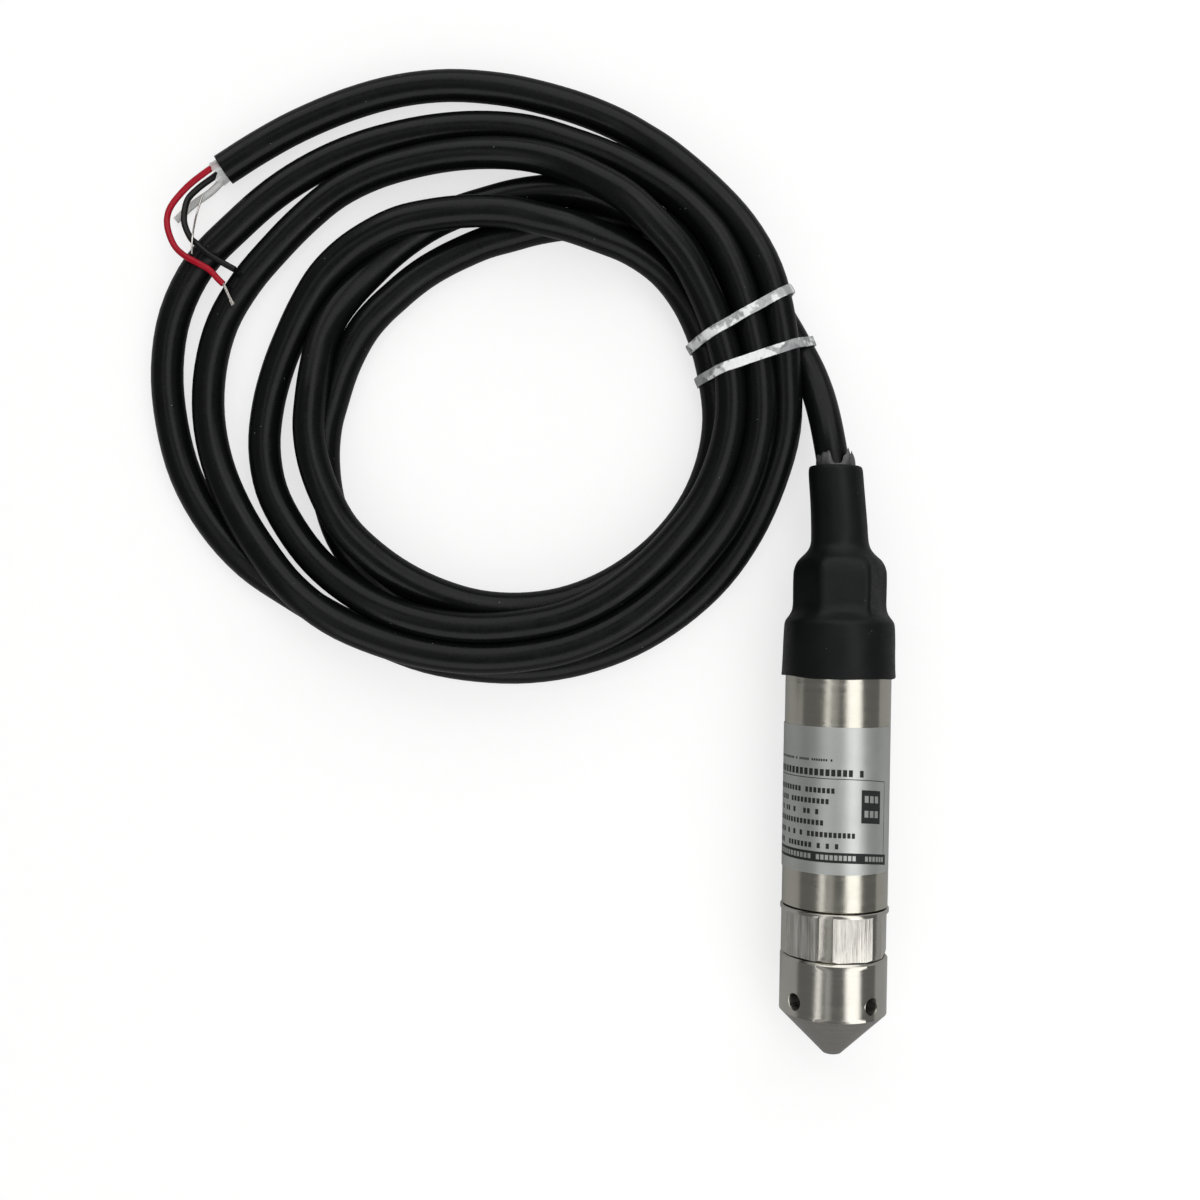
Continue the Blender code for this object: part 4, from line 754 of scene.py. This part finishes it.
def sleeve_mesh():
    sections = flowing([Vector(section[:3]) for section in SLEEVE_SECTIONS], 5)
    leans = flowing([Vector((section[0], section[3], 0.0)) for section in SLEEVE_SECTIONS], 5)
    there = range(len(sections))
    loops = []
    for wall, order in ((0.0, there), (SLEEVE_WALL, reversed(there))):
        for i in order:
            station, radius, hexagon = sections[i]
            rim = max(0.0, 1.0 - (station - SLEEVE_START) / 6.0)
            loop = []
            for angle in circle_angles(SLEEVE_STEPS):
                corners = hexagon_reach(angle, NUT_FLAT_SHARE, SLEEVE_CORNER_SHARE)
                share = 1.0 + max(hexagon, 0.0) * (corners - 1.0)
                reach = (radius * share + 0.10 * round_noise(angle, 2.2, station * 0.11) - wall) * MM
                shift = station * MM + round_noise(angle, 1.6, 3.0) * 0.45 * MM * rim
                point = on_probe(reach, angle, shift)
                point.x -= leans[i].y * MM
                point.z = max(point.z, (0.05 + wall) * MM)
                loop.append(point)
            loops.append(loop)
    return closed_loft("sleeve", loops, 50.0)


shrink_black = satin_finish(
    "shrink_black", (0.0035, 0.004, 0.0043), (0.0068, 0.0074, 0.0078), 0.36, 0.48, (420.0, 900.0),
    contrast=1.4, bump=0.00006, dust=0.25, specular_ior_level=0.18,
)
sleeve = add_piece("sleeve", sleeve_mesh(), shrink_black)
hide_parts("heat_shrink_sleeve")

# Hot-melt adhesive lines the sleeve; where it was squeezed out at the mouth it stands round the
# cable in cloudy grey lumps.
ADHESIVE_START = 137.0
ADHESIVE_MOUTH = 151.2
# The lumps that stand out of the mouth: where each lies round the cable, its half width in degrees
ADHESIVE_LUMPS = ((-60.0, 38.0), (52.0, 36.0), (165.0, 45.0))
ADHESIVE_BORE = 4.25
ADHESIVE_LEAN = 1.2
# Its radius under the sleeve and at the mouth, and how far it and its lumps stand out
ADHESIVE_RADIUS = 6.0
ADHESIVE_LIP = 4.95
ADHESIVE_STAND = 1.2
ADHESIVE_LUMP_STAND = 3.9


def adhesive_lump(angle, out):
    """How far the squeezed-out adhesive stands out of the mouth at an angle, as a share."""
    lump = 0.12
    for middle, half_width in ADHESIVE_LUMPS:
        away = (math.degrees(angle) - middle + 180.0) % 360.0 - 180.0
        lump += 0.8 * math.exp(-((away / half_width) ** 8))
    return lump * (1.0 + 0.45 * round_noise(angle, 4.0, 11.0 + out))


def adhesive_mesh():
    steps = 72
    inside = ADHESIVE_MOUTH - 1.0
    profile = [(ADHESIVE_START + (inside - ADHESIVE_START) * (i / 8), 0.0) for i in range(9)]
    profile += [(inside, i / 10) for i in range(1, 11)]
    loops = []
    for station, out in profile:
        loop = []
        for angle in circle_angles(steps):
            lump = adhesive_lump(angle, out)
            bulge = math.sin(math.pi * min(out * 1.15, 1.0)) * 0.25 * lump
            if out:
                reach = ADHESIVE_LIP + bulge - 0.55 * out ** 2.5
            else:
                reach = ADHESIVE_RADIUS - 0.12 * (station - ADHESIVE_START) / 3.0
            place = station + out * (ADHESIVE_STAND + ADHESIVE_LUMP_STAND * lump)
            lean = 1.1 + 0.6 * min(1.0, max(0.0, (place - 145.0) / 7.0)) + 0.06 * max(0.0, place - 152.0)
            point = on_probe(reach * MM, angle, place * MM)
            point.x -= lean * MM
            loop.append(point)
        loops.append(loop)
    for station in (150.0, ADHESIVE_START):
        bore = ring_on_probe(ADHESIVE_BORE, station, steps)
        loops.append([point - Vector((ADHESIVE_LEAN * MM, 0.0, 0.0)) for point in bore])
    return closed_loft("adhesive", loops, 60.0)


hot_melt, tree, shader = new_finish(
    "hot_melt", (0.08, 0.08, 0.08), 0.32, subsurface_weight=0.25, subsurface_radius=(MM, MM, MM),
)
lines, clouds = lay_grain(tree, (420.0, 420.0), 1.6)
feed(tree, shader, {
    "Base Color": blend_colours(tree, lines, (0.03, 0.033, 0.034), (0.12, 0.12, 0.118)),
    "Roughness": spread(tree, clouds, 0.3, 0.7, 0.22, 0.42),
})
raise_bumps(tree, shader, lines, 0.0003)
adhesive = add_piece("squeezed_adhesive", adhesive_mesh(), hot_melt)
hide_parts("sleeve_adhesive")


# The nose cap: turned from stainless bar, a cone in front, four drilled and countersunk ports round
# it, and a fine inside thread that screws it over the sensor housing. The faces are turned smooth,
# and every edge is broken with a small chamfer.
STEEL_STEPS = 160
STEEL_SHARP = 28.0
CAP_RADIUS = 13.7
CAP_BORE = 12.05
CHAMBER_RADIUS = 10.2
CONE_LENGTH = 11.4
CAP_LENGTH = 26.0
PORT_RADIUS = 2.0
PORT_STATION = 15.1
PORT_TURNS = (35.5, 125.5, 215.5, 305.5)
THREAD_DEPTH = 0.32
THREAD_PITCH = 1.0


def lathe_mesh(name, outline):
    """A turned piece from (radius, station) points in mm that run once round its section."""
    loops = [ring_on_probe(max(radius, 0.0), station, STEEL_STEPS) for radius, station in outline]
    return closed_loft(name, loops, STEEL_SHARP)


def line_down(radius, start, end, parts):
    """Points at equal steps along a cylinder, from one station to another, both included."""
    return [(radius, start - (start - end) * i / parts) for i in range(parts + 1)]


def cut_away(piece, cutters, bevel):
    """Takes the cutters' shapes out of the piece and breaks its edges."""
    for cutter in cutters:
        scene.collection.objects.link(cutter)
        boolean = piece.modifiers.new("cut", "BOOLEAN")
        boolean.operation = "DIFFERENCE"
        boolean.solver = "EXACT"
        boolean.object = cutter
    breaker = piece.modifiers.new("broken_edges", "BEVEL")
    breaker.width = bevel * MM
    breaker.segments = 2
    breaker.limit_method = "ANGLE"
    breaker.angle_limit = math.radians(STEEL_SHARP)
    bpy.context.view_layer.update()
    depsgraph = bpy.context.evaluated_depsgraph_get()
    finished = bpy.data.meshes.new_from_object(piece.evaluated_get(depsgraph))
    piece.modifiers.clear()
    old = piece.data
    piece.data = finished
    bpy.data.meshes.remove(old)
    for cutter in cutters:
        bpy.data.objects.remove(cutter, do_unlink=True)
    finished.shade_smooth()
    finished.set_sharp_from_angle(angle=math.radians(STEEL_SHARP))


def thread_outline(outer, start, end, inward=False):
    """Fine thread ridges between two stations, as turned rings."""
    depth = -THREAD_DEPTH if inward else THREAD_DEPTH
    count = max(2, int(abs(end - start) / THREAD_PITCH))
    step = (end - start) / count
    points = []
    for i in range(count):
        for radius, share in ((outer, 0.08), (outer, 0.32), (outer - depth, 0.58), (outer - depth, 0.82)):
            points.append((radius, start + step * (i + share)))
    return points


def drill(name, radius, end_radius, length, angle, middle):
    """A cutter: a rod or cone through the cap's wall at this angle."""
    shape = bmesh.new()
    out = Vector((math.sin(angle), 0.0, math.cos(angle)))
    turn = Vector((0.0, 0.0, 1.0)).rotation_difference(out).to_matrix().to_4x4()
    place = Matrix.Translation(on_probe(middle * MM, angle, PORT_STATION * MM)) @ turn
    bmesh.ops.create_cone(shape, cap_ends=True, segments=40, radius1=radius * MM,
                          radius2=end_radius * MM, depth=length * MM, matrix=place)
    return bpy.data.objects.new(name, mesh_of(name, shape))


cone_points = []
for i in range(1, 9):
    t = i / 9
    cone_points.append((CAP_RADIUS + (2.9 - CAP_RADIUS) * t, CONE_LENGTH + (0.75 - CONE_LENGTH) * t))
cap_outline = [
    (CAP_BORE + 0.25, CAP_LENGTH),
    (CAP_RADIUS - 0.5, CAP_LENGTH),
    *line_down(CAP_RADIUS, CAP_LENGTH - 0.55, CONE_LENGTH, 14),
    *cone_points,
    (2.75, 0.6), (2.45, 0.28), (1.95, 0.08), (1.2, 0.0), (0.0, -0.02),
    (0.0, 7.0), (4.0, 7.0), (CHAMBER_RADIUS, 13.1),
    (CHAMBER_RADIUS, 16.0), (CHAMBER_RADIUS, 18.7), (CAP_BORE, 18.7), (CAP_BORE, 19.4),
    *thread_outline(CAP_BORE, 19.4, 25.6, inward=True),
    (CAP_BORE, 25.75),
]

# Turned stainless steel: the tool's rings run round the axis, over soft streaks and a few smears
def turned_steel(name, light, dark, fineness, smooth, rough, contrast=1.3, bump=0.000012, cloudy=0.5):
    material, tree, shader = new_finish(name, light, smooth, metallic=1.0)
    lines, clouds = lay_grain(tree, fineness, contrast)
    smears, _ = lay_marks(tree, 0.5)
    share = reckon(tree, "ADD", reckon(tree, "MULTIPLY", lines, 1.0 - cloudy),
                   reckon(tree, "MULTIPLY", clouds, cloudy))
    plain = spread(tree, lines, 0.25, 0.75, smooth, rough)
    feed(tree, shader, {
        "Base Color": blend_colours(tree, share, dark, light),
        "Roughness": reckon(tree, "MULTIPLY_ADD", smears, 0.07, plain),
    })
    raise_bumps(tree, shader, lines, bump)
    return material


cap_steel = turned_steel(
    "cap_steel", (0.66, 0.64, 0.585), (0.46, 0.44, 0.395), (50.0, 5200.0), 0.1, 0.2, bump=0.00002,
)
cone_steel = turned_steel(
    "cone_steel", (0.37, 0.355, 0.33), (0.22, 0.21, 0.195), (50.0, 4200.0), 0.2, 0.36, bump=0.00003,
)
chamber_steel = turned_steel(
    "chamber_steel", (0.5, 0.49, 0.47), (0.3, 0.29, 0.28), (70.0, 2600.0), 0.3, 0.45, bump=0.00003,
)
# Faces that look forward in front of the cone's foot are the cone; faces within this radius and
# behind this station are the chamber
CHAMBER_FACES = 12.2
CHAMBER_START = 6.5
cap = add_piece("turned_nose_cap", lathe_mesh("turned_nose_cap", cap_outline), cap_steel, body="nose_cap")
port_cutters = []
for degrees in PORT_TURNS:
    angle = math.radians(degrees)
    port_cutters.append(drill("port_drill", PORT_RADIUS, PORT_RADIUS, 9.0, angle, 12.0))
    port_cutters.append(drill("port_sink", PORT_RADIUS - 0.15, PORT_RADIUS + 0.55, 1.6, angle, CAP_RADIUS))
cut_away(cap, port_cutters, 0.08)
cap.data.materials.append(chamber_steel)
cap.data.materials.append(cone_steel)
for face in cap.data.polygons:
    middle = face.center
    radius = math.hypot(middle.x, middle.z - AXIS_HEIGHT) / MM
    station = (middle.y - PROBE_TIP) / MM
    if station < CONE_LENGTH and face.normal.y < -0.3:
        face.material_index = 2
    elif radius < CHAMBER_FACES and station > CHAMBER_START:
        face.material_index = 1
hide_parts("nose_cap")


# The sensor housing: one turned piece with a threaded spigot for the cap in front, a ring with six
# milled spanner flats, and a spigot with an O-ring groove that the tube slides over. The flats are
# brushed along the probe; the ring between them keeps its turned bands.
FLANGE_RADIUS = 13.85
FLANGE_FRONT = 26.3
FLANGE_REAR = 38.45
FLAT_DISTANCE = 12.8
FLATS_END = 37.4
FLATS_TURN = math.radians(12.0)
SPIGOT_RADIUS = 11.75
REAR_SPIGOT = 11.95
housing_outline = [
    (9.8, 46.45), (REAR_SPIGOT - 0.2, 46.45), (REAR_SPIGOT, 46.25), (REAR_SPIGOT, 42.85),
    (10.6, 42.85), (10.6, 41.25), (REAR_SPIGOT, 41.25), (REAR_SPIGOT, FLANGE_REAR),
    (FLANGE_RADIUS - 0.25, FLANGE_REAR),
    *line_down(FLANGE_RADIUS, FLANGE_REAR - 0.25, FLANGE_FRONT + 0.5, 8),
    (FLANGE_RADIUS - 0.5, FLANGE_FRONT),
    (SPIGOT_RADIUS - 0.5, FLANGE_FRONT), (SPIGOT_RADIUS - 0.5, FLANGE_FRONT - 1.6),
    *thread_outline(SPIGOT_RADIUS, FLANGE_FRONT - 1.7, 19.5),
    (SPIGOT_RADIUS - 0.5, 18.9), (8.6, 18.9), (8.6, 20.2), (9.8, 20.2),
]
housing = add_piece("turned_housing", lathe_mesh("turned_housing", housing_outline), cap_steel)
flat_angles = [FLATS_TURN + math.pi * i / 3.0 for i in range(6)]
flat_cutters = []
for angle in flat_angles:
    shape = bmesh.new()
    length = FLATS_END - FLANGE_FRONT + 3.0
    place = Matrix.Translation(on_probe((FLAT_DISTANCE + 2.0) * MM, angle, (FLATS_END - length / 2.0) * MM))
    size = Matrix.Diagonal((14.0 * MM, length * MM, 4.0 * MM, 1.0))
    bmesh.ops.create_cube(shape, size=1.0, matrix=place @ Matrix.Rotation(angle, 4, "Y") @ size)
    flat_cutters.append(bpy.data.objects.new("flat_cutter", mesh_of("flat_cutter", shape)))
cut_away(housing, flat_cutters, 0.1)
flat_steel = turned_steel(
    "flat_steel", (0.82, 0.795, 0.74), (0.36, 0.35, 0.32), (2800.0, 90.0), 0.3, 0.44,
    contrast=4.0, bump=0.00004, cloudy=0.15,
)
housing.data.materials.append(flat_steel)
for face in housing.data.polygons:
    middle = face.center
    for angle in flat_angles:
        out = Vector((math.sin(angle), 0.0, math.cos(angle)))
        reach = (middle - Vector((0.0, middle.y, AXIS_HEIGHT))).dot(out) / MM
        if abs(reach - FLAT_DISTANCE) < 0.03 and face.normal.dot(out) > 0.99:
            face.material_index = 1
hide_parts("sensor_housing")


# The body tube: drawn and polished stainless tube, 27 mm across, cut square and deburred at both
# ends. Long soft bands run along it, crossed by fine polishing rings.
TUBE_RADIUS = 13.5
TUBE_BORE = 12.25
TUBE_FRONT = 38.75
TUBE_REAR = 106.05
tube_outline = [
    (TUBE_BORE, TUBE_REAR), (TUBE_RADIUS - 0.2, TUBE_REAR),
    *line_down(TUBE_RADIUS, TUBE_REAR - 0.2, TUBE_FRONT + 0.2, 24),
    (TUBE_RADIUS - 0.2, TUBE_FRONT), (TUBE_BORE, TUBE_FRONT),
]
tube_steel = turned_steel(
    "tube_steel", (0.64, 0.62, 0.55), (0.47, 0.455, 0.395), (40.0, 3800.0), 0.12, 0.22,
    cloudy=0.35, bump=0.00003,
)
tube = add_piece("polished_tube", lathe_mesh("polished_tube", tube_outline), tube_steel)
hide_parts("body_tube")


# The label: a thin silver foil, printed in black and wrapped three quarters round the tube. It
# carries only a frame, a black field, a black strip and rows of small plain blocks; the place
# above them is left bare.
LABEL_START = 48.35
LABEL_LENGTH = 36.7
LABEL_RADIUS = 13.7
LABEL_EDGE = math.radians(67.5)
LABEL_SWEEP = math.radians(270.0)
LABEL_ARC = LABEL_RADIUS * LABEL_SWEEP
LABEL_THICKNESS = 0.1
# The label's two edges along the probe have come loose by this much
LABEL_LIFT = 0.05


def label_mesh():
    columns, rows = 216, 20
    shape = bmesh.new()
    place_map = shape.loops.layers.uv.new("place")
    grid = []
    for depth in (0.0, LABEL_THICKNESS):
        sheet = []
        for i in range(columns + 1):
            angle = LABEL_EDGE - LABEL_SWEEP * i / columns
            lift = LABEL_LIFT * max(0.0, 1.0 - min(i, columns - i) / 3.0)
            reach = (LABEL_RADIUS - depth + lift) * MM
            stations = [LABEL_START + LABEL_LENGTH * j / rows for j in range(rows + 1)]
            sheet.append([shape.verts.new(on_probe(reach, angle, station * MM)) for station in stations])
        grid.append(sheet)
    top, low = grid

    def face(corners, places):
        made = shape.faces.new(corners)
        for loop, place in zip(made.loops, places):
            loop[place_map].uv = place

    for i in range(columns):
        for j in range(rows):
            a, b = i / columns, (i + 1) / columns
            c, d = j / rows, (j + 1) / rows
            places = ((a, c), (b, c), (b, d), (a, d))
            face((top[i][j], top[i + 1][j], top[i + 1][j + 1], top[i][j + 1]), places)
            face((low[i][j + 1], low[i + 1][j + 1], low[i + 1][j], low[i][j]), places[::-1])
    for j in range(rows):
        for i in (0, columns):
            face((top[i][j], top[i][j + 1], low[i][j + 1], low[i][j]), ((i / columns, 0.0),) * 4)
    for i in range(columns):
        for j in (0, rows):
            face((top[i][j], top[i + 1][j], low[i + 1][j], low[i][j]), ((0.0, j / rows),) * 4)
    bmesh.ops.recalc_face_normals(shape, faces=shape.faces)
    return mesh_of("foil_label", shape, 30.0)


# One printed field, all in mm: 1 within half its size of its middle, along the arc and the height
print_field, given, result = effect_group(
    "print_field", ["Arc", "Height", "Middle Arc", "Half Arc", "Middle Height", "Half Height"], ["Mask"],
)
in_arc = reckon(print_field, "COMPARE", given["Arc"], given["Middle Arc"], given["Half Arc"])
in_height = reckon(print_field, "COMPARE", given["Height"], given["Middle Height"], given["Half Height"])
feed(print_field, result, {"Mask": reckon(print_field, "MULTIPLY", in_arc, in_height)})

# Rows of plain bars as long as words, each cut into short upright blocks
print_row, given, result = effect_group("print_row", ["Arc", "Pitch", "Word", "Seed"], ["Mask"])
letter = reckon(print_row, "DIVIDE", given["Arc"], given["Pitch"])
block = reckon(print_row, "COMPARE", reckon(print_row, "FRACT", letter), 0.42, 0.36)
number = reckon(print_row, "ADD", reckon(print_row, "FLOOR", letter), given["Seed"])
chance = put(print_row, "ShaderNodeTexWhiteNoise", {"W": number}, noise_dimensions="1D").outputs["Value"]
kept = reckon(print_row, "GREATER_THAN", chance, given["Word"])
feed(print_row, result, {"Mask": reckon(print_row, "MULTIPLY", block, kept)})

label_foil, tree, shader = new_finish(
    "label_foil", (0.6, 0.61, 0.61), 0.38, metallic=0.75, specular_ior_level=0.12,
)
place = put(tree, "ShaderNodeUVMap", uv_map="place").outputs["UV"]
spot = put(tree, "ShaderNodeSeparateXYZ", {0: place})
arc = reckon(tree, "MULTIPLY", spot.outputs["X"], LABEL_ARC)
plain_height = reckon(tree, "MULTIPLY", spot.outputs["Y"], LABEL_LENGTH)
# The print runs slightly askew towards the label's right edge
askew = reckon(tree, "POWER", reckon(tree, "MAXIMUM", reckon(tree, "SUBTRACT", 18.0, arc), 0.0), 2.0)
print_height = reckon(tree, "MULTIPLY_ADD", askew, 0.0055, plain_height)


def printed(middle_arc, half_arc, middle_height, half_height):
    return use_group(tree, print_field, arc=arc, height=print_height, middle_arc=middle_arc,
                     half_arc=half_arc, middle_height=middle_height, half_height=half_height)["Mask"]


def blocks(start, end, middle, half, pitch, seed, gap):
    from_start = reckon(tree, "SUBTRACT", arc, start)
    row = use_group(tree, print_row, arc=from_start, pitch=pitch, seed=seed, word=gap)["Mask"]
    return reckon(tree, "MULTIPLY", row, printed((start + end) / 2.0, (end - start) / 2.0, middle, half))


# The thin frame, the black field at its right and the black strip in front of it
ink = reckon(tree, "SUBTRACT", printed(32.3, 28.4, 14.1, 9.9), printed(32.3, 28.2, 14.1, 9.7))
ink = reckon(tree, "MAXIMUM", ink, printed(8.9, 3.05, 17.3, 4.15))
ink = reckon(tree, "MAXIMUM", ink, printed(32.3, 29.4, 4.3, 1.3))
# Rows: right end, left end, middle height, half height, block pitch, seed and share of gaps
for start, end, middle, half, pitch, seed, gap in (
    (19.5, 41.0, 28.5, 0.3, 0.62, 3.0, 0.14),
    (11.4, 52.0, 25.4, 0.85, 1.45, 19.0, 0.1),
    (18.8, 56.0, 20.9, 0.66, 1.15, 31.0, 0.12),
    (20.2, 56.0, 18.2, 0.66, 1.15, 46.0, 0.16),
    (22.8, 56.0, 15.5, 0.66, 1.15, 59.0, 0.16),
    (21.5, 56.0, 12.8, 0.66, 1.15, 74.0, 0.14),
    (13.5, 56.0, 9.9, 0.66, 1.15, 86.0, 0.14),
    (16.5, 56.0, 7.1, 0.66, 1.15, 97.0, 0.12),
):
    ink = reckon(tree, "MAXIMUM", ink, blocks(start, end, middle, half, pitch, seed, gap))
# Bare blocks in the strip and in the field
knocked_out = blocks(4.0, 60.0, 4.3, 0.62, 1.15, 115.0, 0.14)
knocked_out = reckon(tree, "MAXIMUM", knocked_out, blocks(6.6, 11.2, 19.2, 0.85, 1.6, 130.0, 0.0))
knocked_out = reckon(tree, "MAXIMUM", knocked_out, blocks(6.6, 11.2, 15.5, 0.85, 1.6, 140.0, 0.0))
ink = reckon(tree, "SUBTRACT", ink, reckon(tree, "MULTIPLY", knocked_out, 0.85))
lines, clouds = lay_grain(tree, (900.0, 120.0), 1.0)
smears, _ = lay_marks(tree, 0.8)
foil_colour = blend_colours(tree, clouds, (0.47, 0.485, 0.47), (0.58, 0.595, 0.575))
inked = reckon(tree, "MULTIPLY", ink, 0.97)
plain = spread(tree, lines, 0.3, 0.7, 0.34, 0.42)
feed(tree, shader, {
    "Base Color": blend_colours(tree, inked, foil_colour, (0.012, 0.012, 0.013)),
    "Metallic": reckon(tree, "MULTIPLY", reckon(tree, "SUBTRACT", 1.0, ink), 0.75),
    "Roughness": reckon(tree, "MULTIPLY_ADD", smears, 0.06, plain),
})
raise_bumps(tree, shader, lines, 0.000015)
label = add_piece("foil_label", label_mesh(), label_foil)
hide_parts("label")


# The gland's nut under the sleeve: nickel-plated brass, a hexagon milled on round bar and turned to
# a dome behind, where it presses the washer and the seal on the cable.
NUT_START = 111.95
NUT_END = 130.55
NUT_INNER_END = 127.15
NUT_FLAT_REACH = 9.75
NUT_CORNER_REACH = 11.26
NUT_BORE = 8.6
NUT_MOUTH = 4.4
# The dome's radius at stations from the tip, in mm
NUT_DOME = (
    (124.2, 11.3), (124.6, 11.2), (126.2, 10.2), (127.4, 9.2), (128.3, 8.3), (129.2, 7.6), (NUT_END, 6.9),
)


def nut_mesh():
    steps = 96
    loops = []
    for station, dome in ((NUT_START, 10.7), (NUT_START + 0.6, NUT_CORNER_REACH), *NUT_DOME):
        loops.append([
            on_probe(hexagon_reach(angle, NUT_FLAT_REACH, dome) * MM, angle, station * MM)
            for angle in circle_angles(steps)
        ])
    for radius, station in (
        (NUT_MOUTH, NUT_END), (NUT_MOUTH, NUT_INNER_END), (NUT_BORE, NUT_INNER_END), (NUT_BORE, NUT_START),
    ):
        loops.append(ring_on_probe(radius, station, steps))
    return closed_loft("domed_gland_nut", loops, 25.0)


# The pieces inside the probe and under the sleeve keep their own solids and get their finishes
# here: the pressure capsule and its fittings, the gland, the seals, and the circuit board.
def dress(material, *nodes):
    for node in nodes:
        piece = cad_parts[node]
        if piece.material_slots:
            for slot in piece.material_slots:
                slot.material = material
        else:
            piece.data.materials.append(material)


capsule_steel = turned_steel(
    "capsule_steel", (0.72, 0.71, 0.69), (0.52, 0.51, 0.5), (70.0, 3000.0), 0.16, 0.28,
)
head_steel = turned_steel(
    "head_steel", (0.62, 0.6, 0.57), (0.42, 0.41, 0.39), (70.0, 2400.0), 0.22, 0.36,
)
nickel_brass = turned_steel(
    "nickel_brass", (0.68, 0.64, 0.53), (0.5, 0.46, 0.36), (500.0, 900.0), 0.22, 0.36,
)
gland_nut = add_piece("domed_gland_nut", nut_mesh(), nickel_brass)
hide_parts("gland_nut")
pin_gold = turned_steel(
    "pin_gold", (0.86, 0.63, 0.26), (0.7, 0.48, 0.17), (900.0, 900.0), 0.18, 0.3,
)
lead_tin = turned_steel(
    "lead_tin", (0.74, 0.72, 0.69), (0.5, 0.48, 0.46), (1400.0, 500.0), 0.22, 0.36,
)
seal_rubber = satin_finish(
    "seal_rubber", (0.014, 0.014, 0.014), (0.024, 0.024, 0.024), 0.58, 0.72, (700.0, 700.0), dust=0.3,
)
chip_package = satin_finish(
    "chip_package", (0.016, 0.016, 0.017), (0.026, 0.026, 0.027), 0.5, 0.66, (2600.0, 2600.0),
    contrast=1.6, dust=0.2,
)
carrier_plastic = satin_finish(
    "carrier_plastic", (0.44, 0.44, 0.42), (0.54, 0.54, 0.52), 0.42, 0.56, (900.0, 900.0), dust=0.0,
)
arrester_ceramic = satin_finish(
    "arrester_ceramic", (0.7, 0.67, 0.61), (0.8, 0.77, 0.71), 0.22, 0.34, (600.0, 600.0), dust=0.0,
)

# Solder mask over copper tracks: straight tracks and round pads show as a lighter green
board_green, tree, shader = new_finish("board_green", (0.02, 0.16, 0.07), 0.4)
place = place_on_object(tree)
tracks = put(tree, "ShaderNodeTexBrick", {
    "Vector": place, "Scale": 260.0, "Mortar Size": 0.035,
    "Color1": (0, 0, 0, 1), "Color2": (0, 0, 0, 1), "Mortar": (1, 1, 1, 1),
})
pads = put(tree, "ShaderNodeTexVoronoi", {"Vector": place, "Scale": 380.0, "Randomness": 0.25})
pad_mask = reckon(tree, "LESS_THAN", pads.outputs["Distance"], 0.22)
copper = reckon(tree, "MAXIMUM", tracks.outputs["Fac"], pad_mask)
smears, _ = lay_marks(tree, 0.3)
feed(tree, shader, {
    "Base Color": blend_colours(tree, copper, (0.012, 0.1, 0.04), (0.04, 0.22, 0.1)),
    "Roughness": reckon(tree, "MULTIPLY_ADD", smears, 0.1, 0.36),
})
raise_bumps(tree, shader, copper, 0.00003)

dress(capsule_steel, "pressure_capsule", "diaphragm", "capsule_nut", "capsule_vent", "filter_capacitor")
dress(head_steel, "cable_head")
dress(nickel_brass, "gland_washer")
dress(seal_rubber, "capsule_o_ring", "tube_o_ring_front", "tube_o_ring_rear", "gland_seal")
dress(pin_gold, *[f"capsule_pin_{i}" for i in range(1, 5)])
dress(lead_tin, *[f"sensor_lead_{i}" for i in range(1, 5)])
dress(board_green, "circuit_board")
dress(carrier_plastic, "board_holder_front", "board_holder_rear")
dress(chip_package, "amplifier_chip", "regulator")
dress(arrester_ceramic, "surge_arrester")
dress(core_red, "inner_red_wire")
dress(core_black, "inner_black_wire")
dress(vent_milky, "inner_vent_tube")
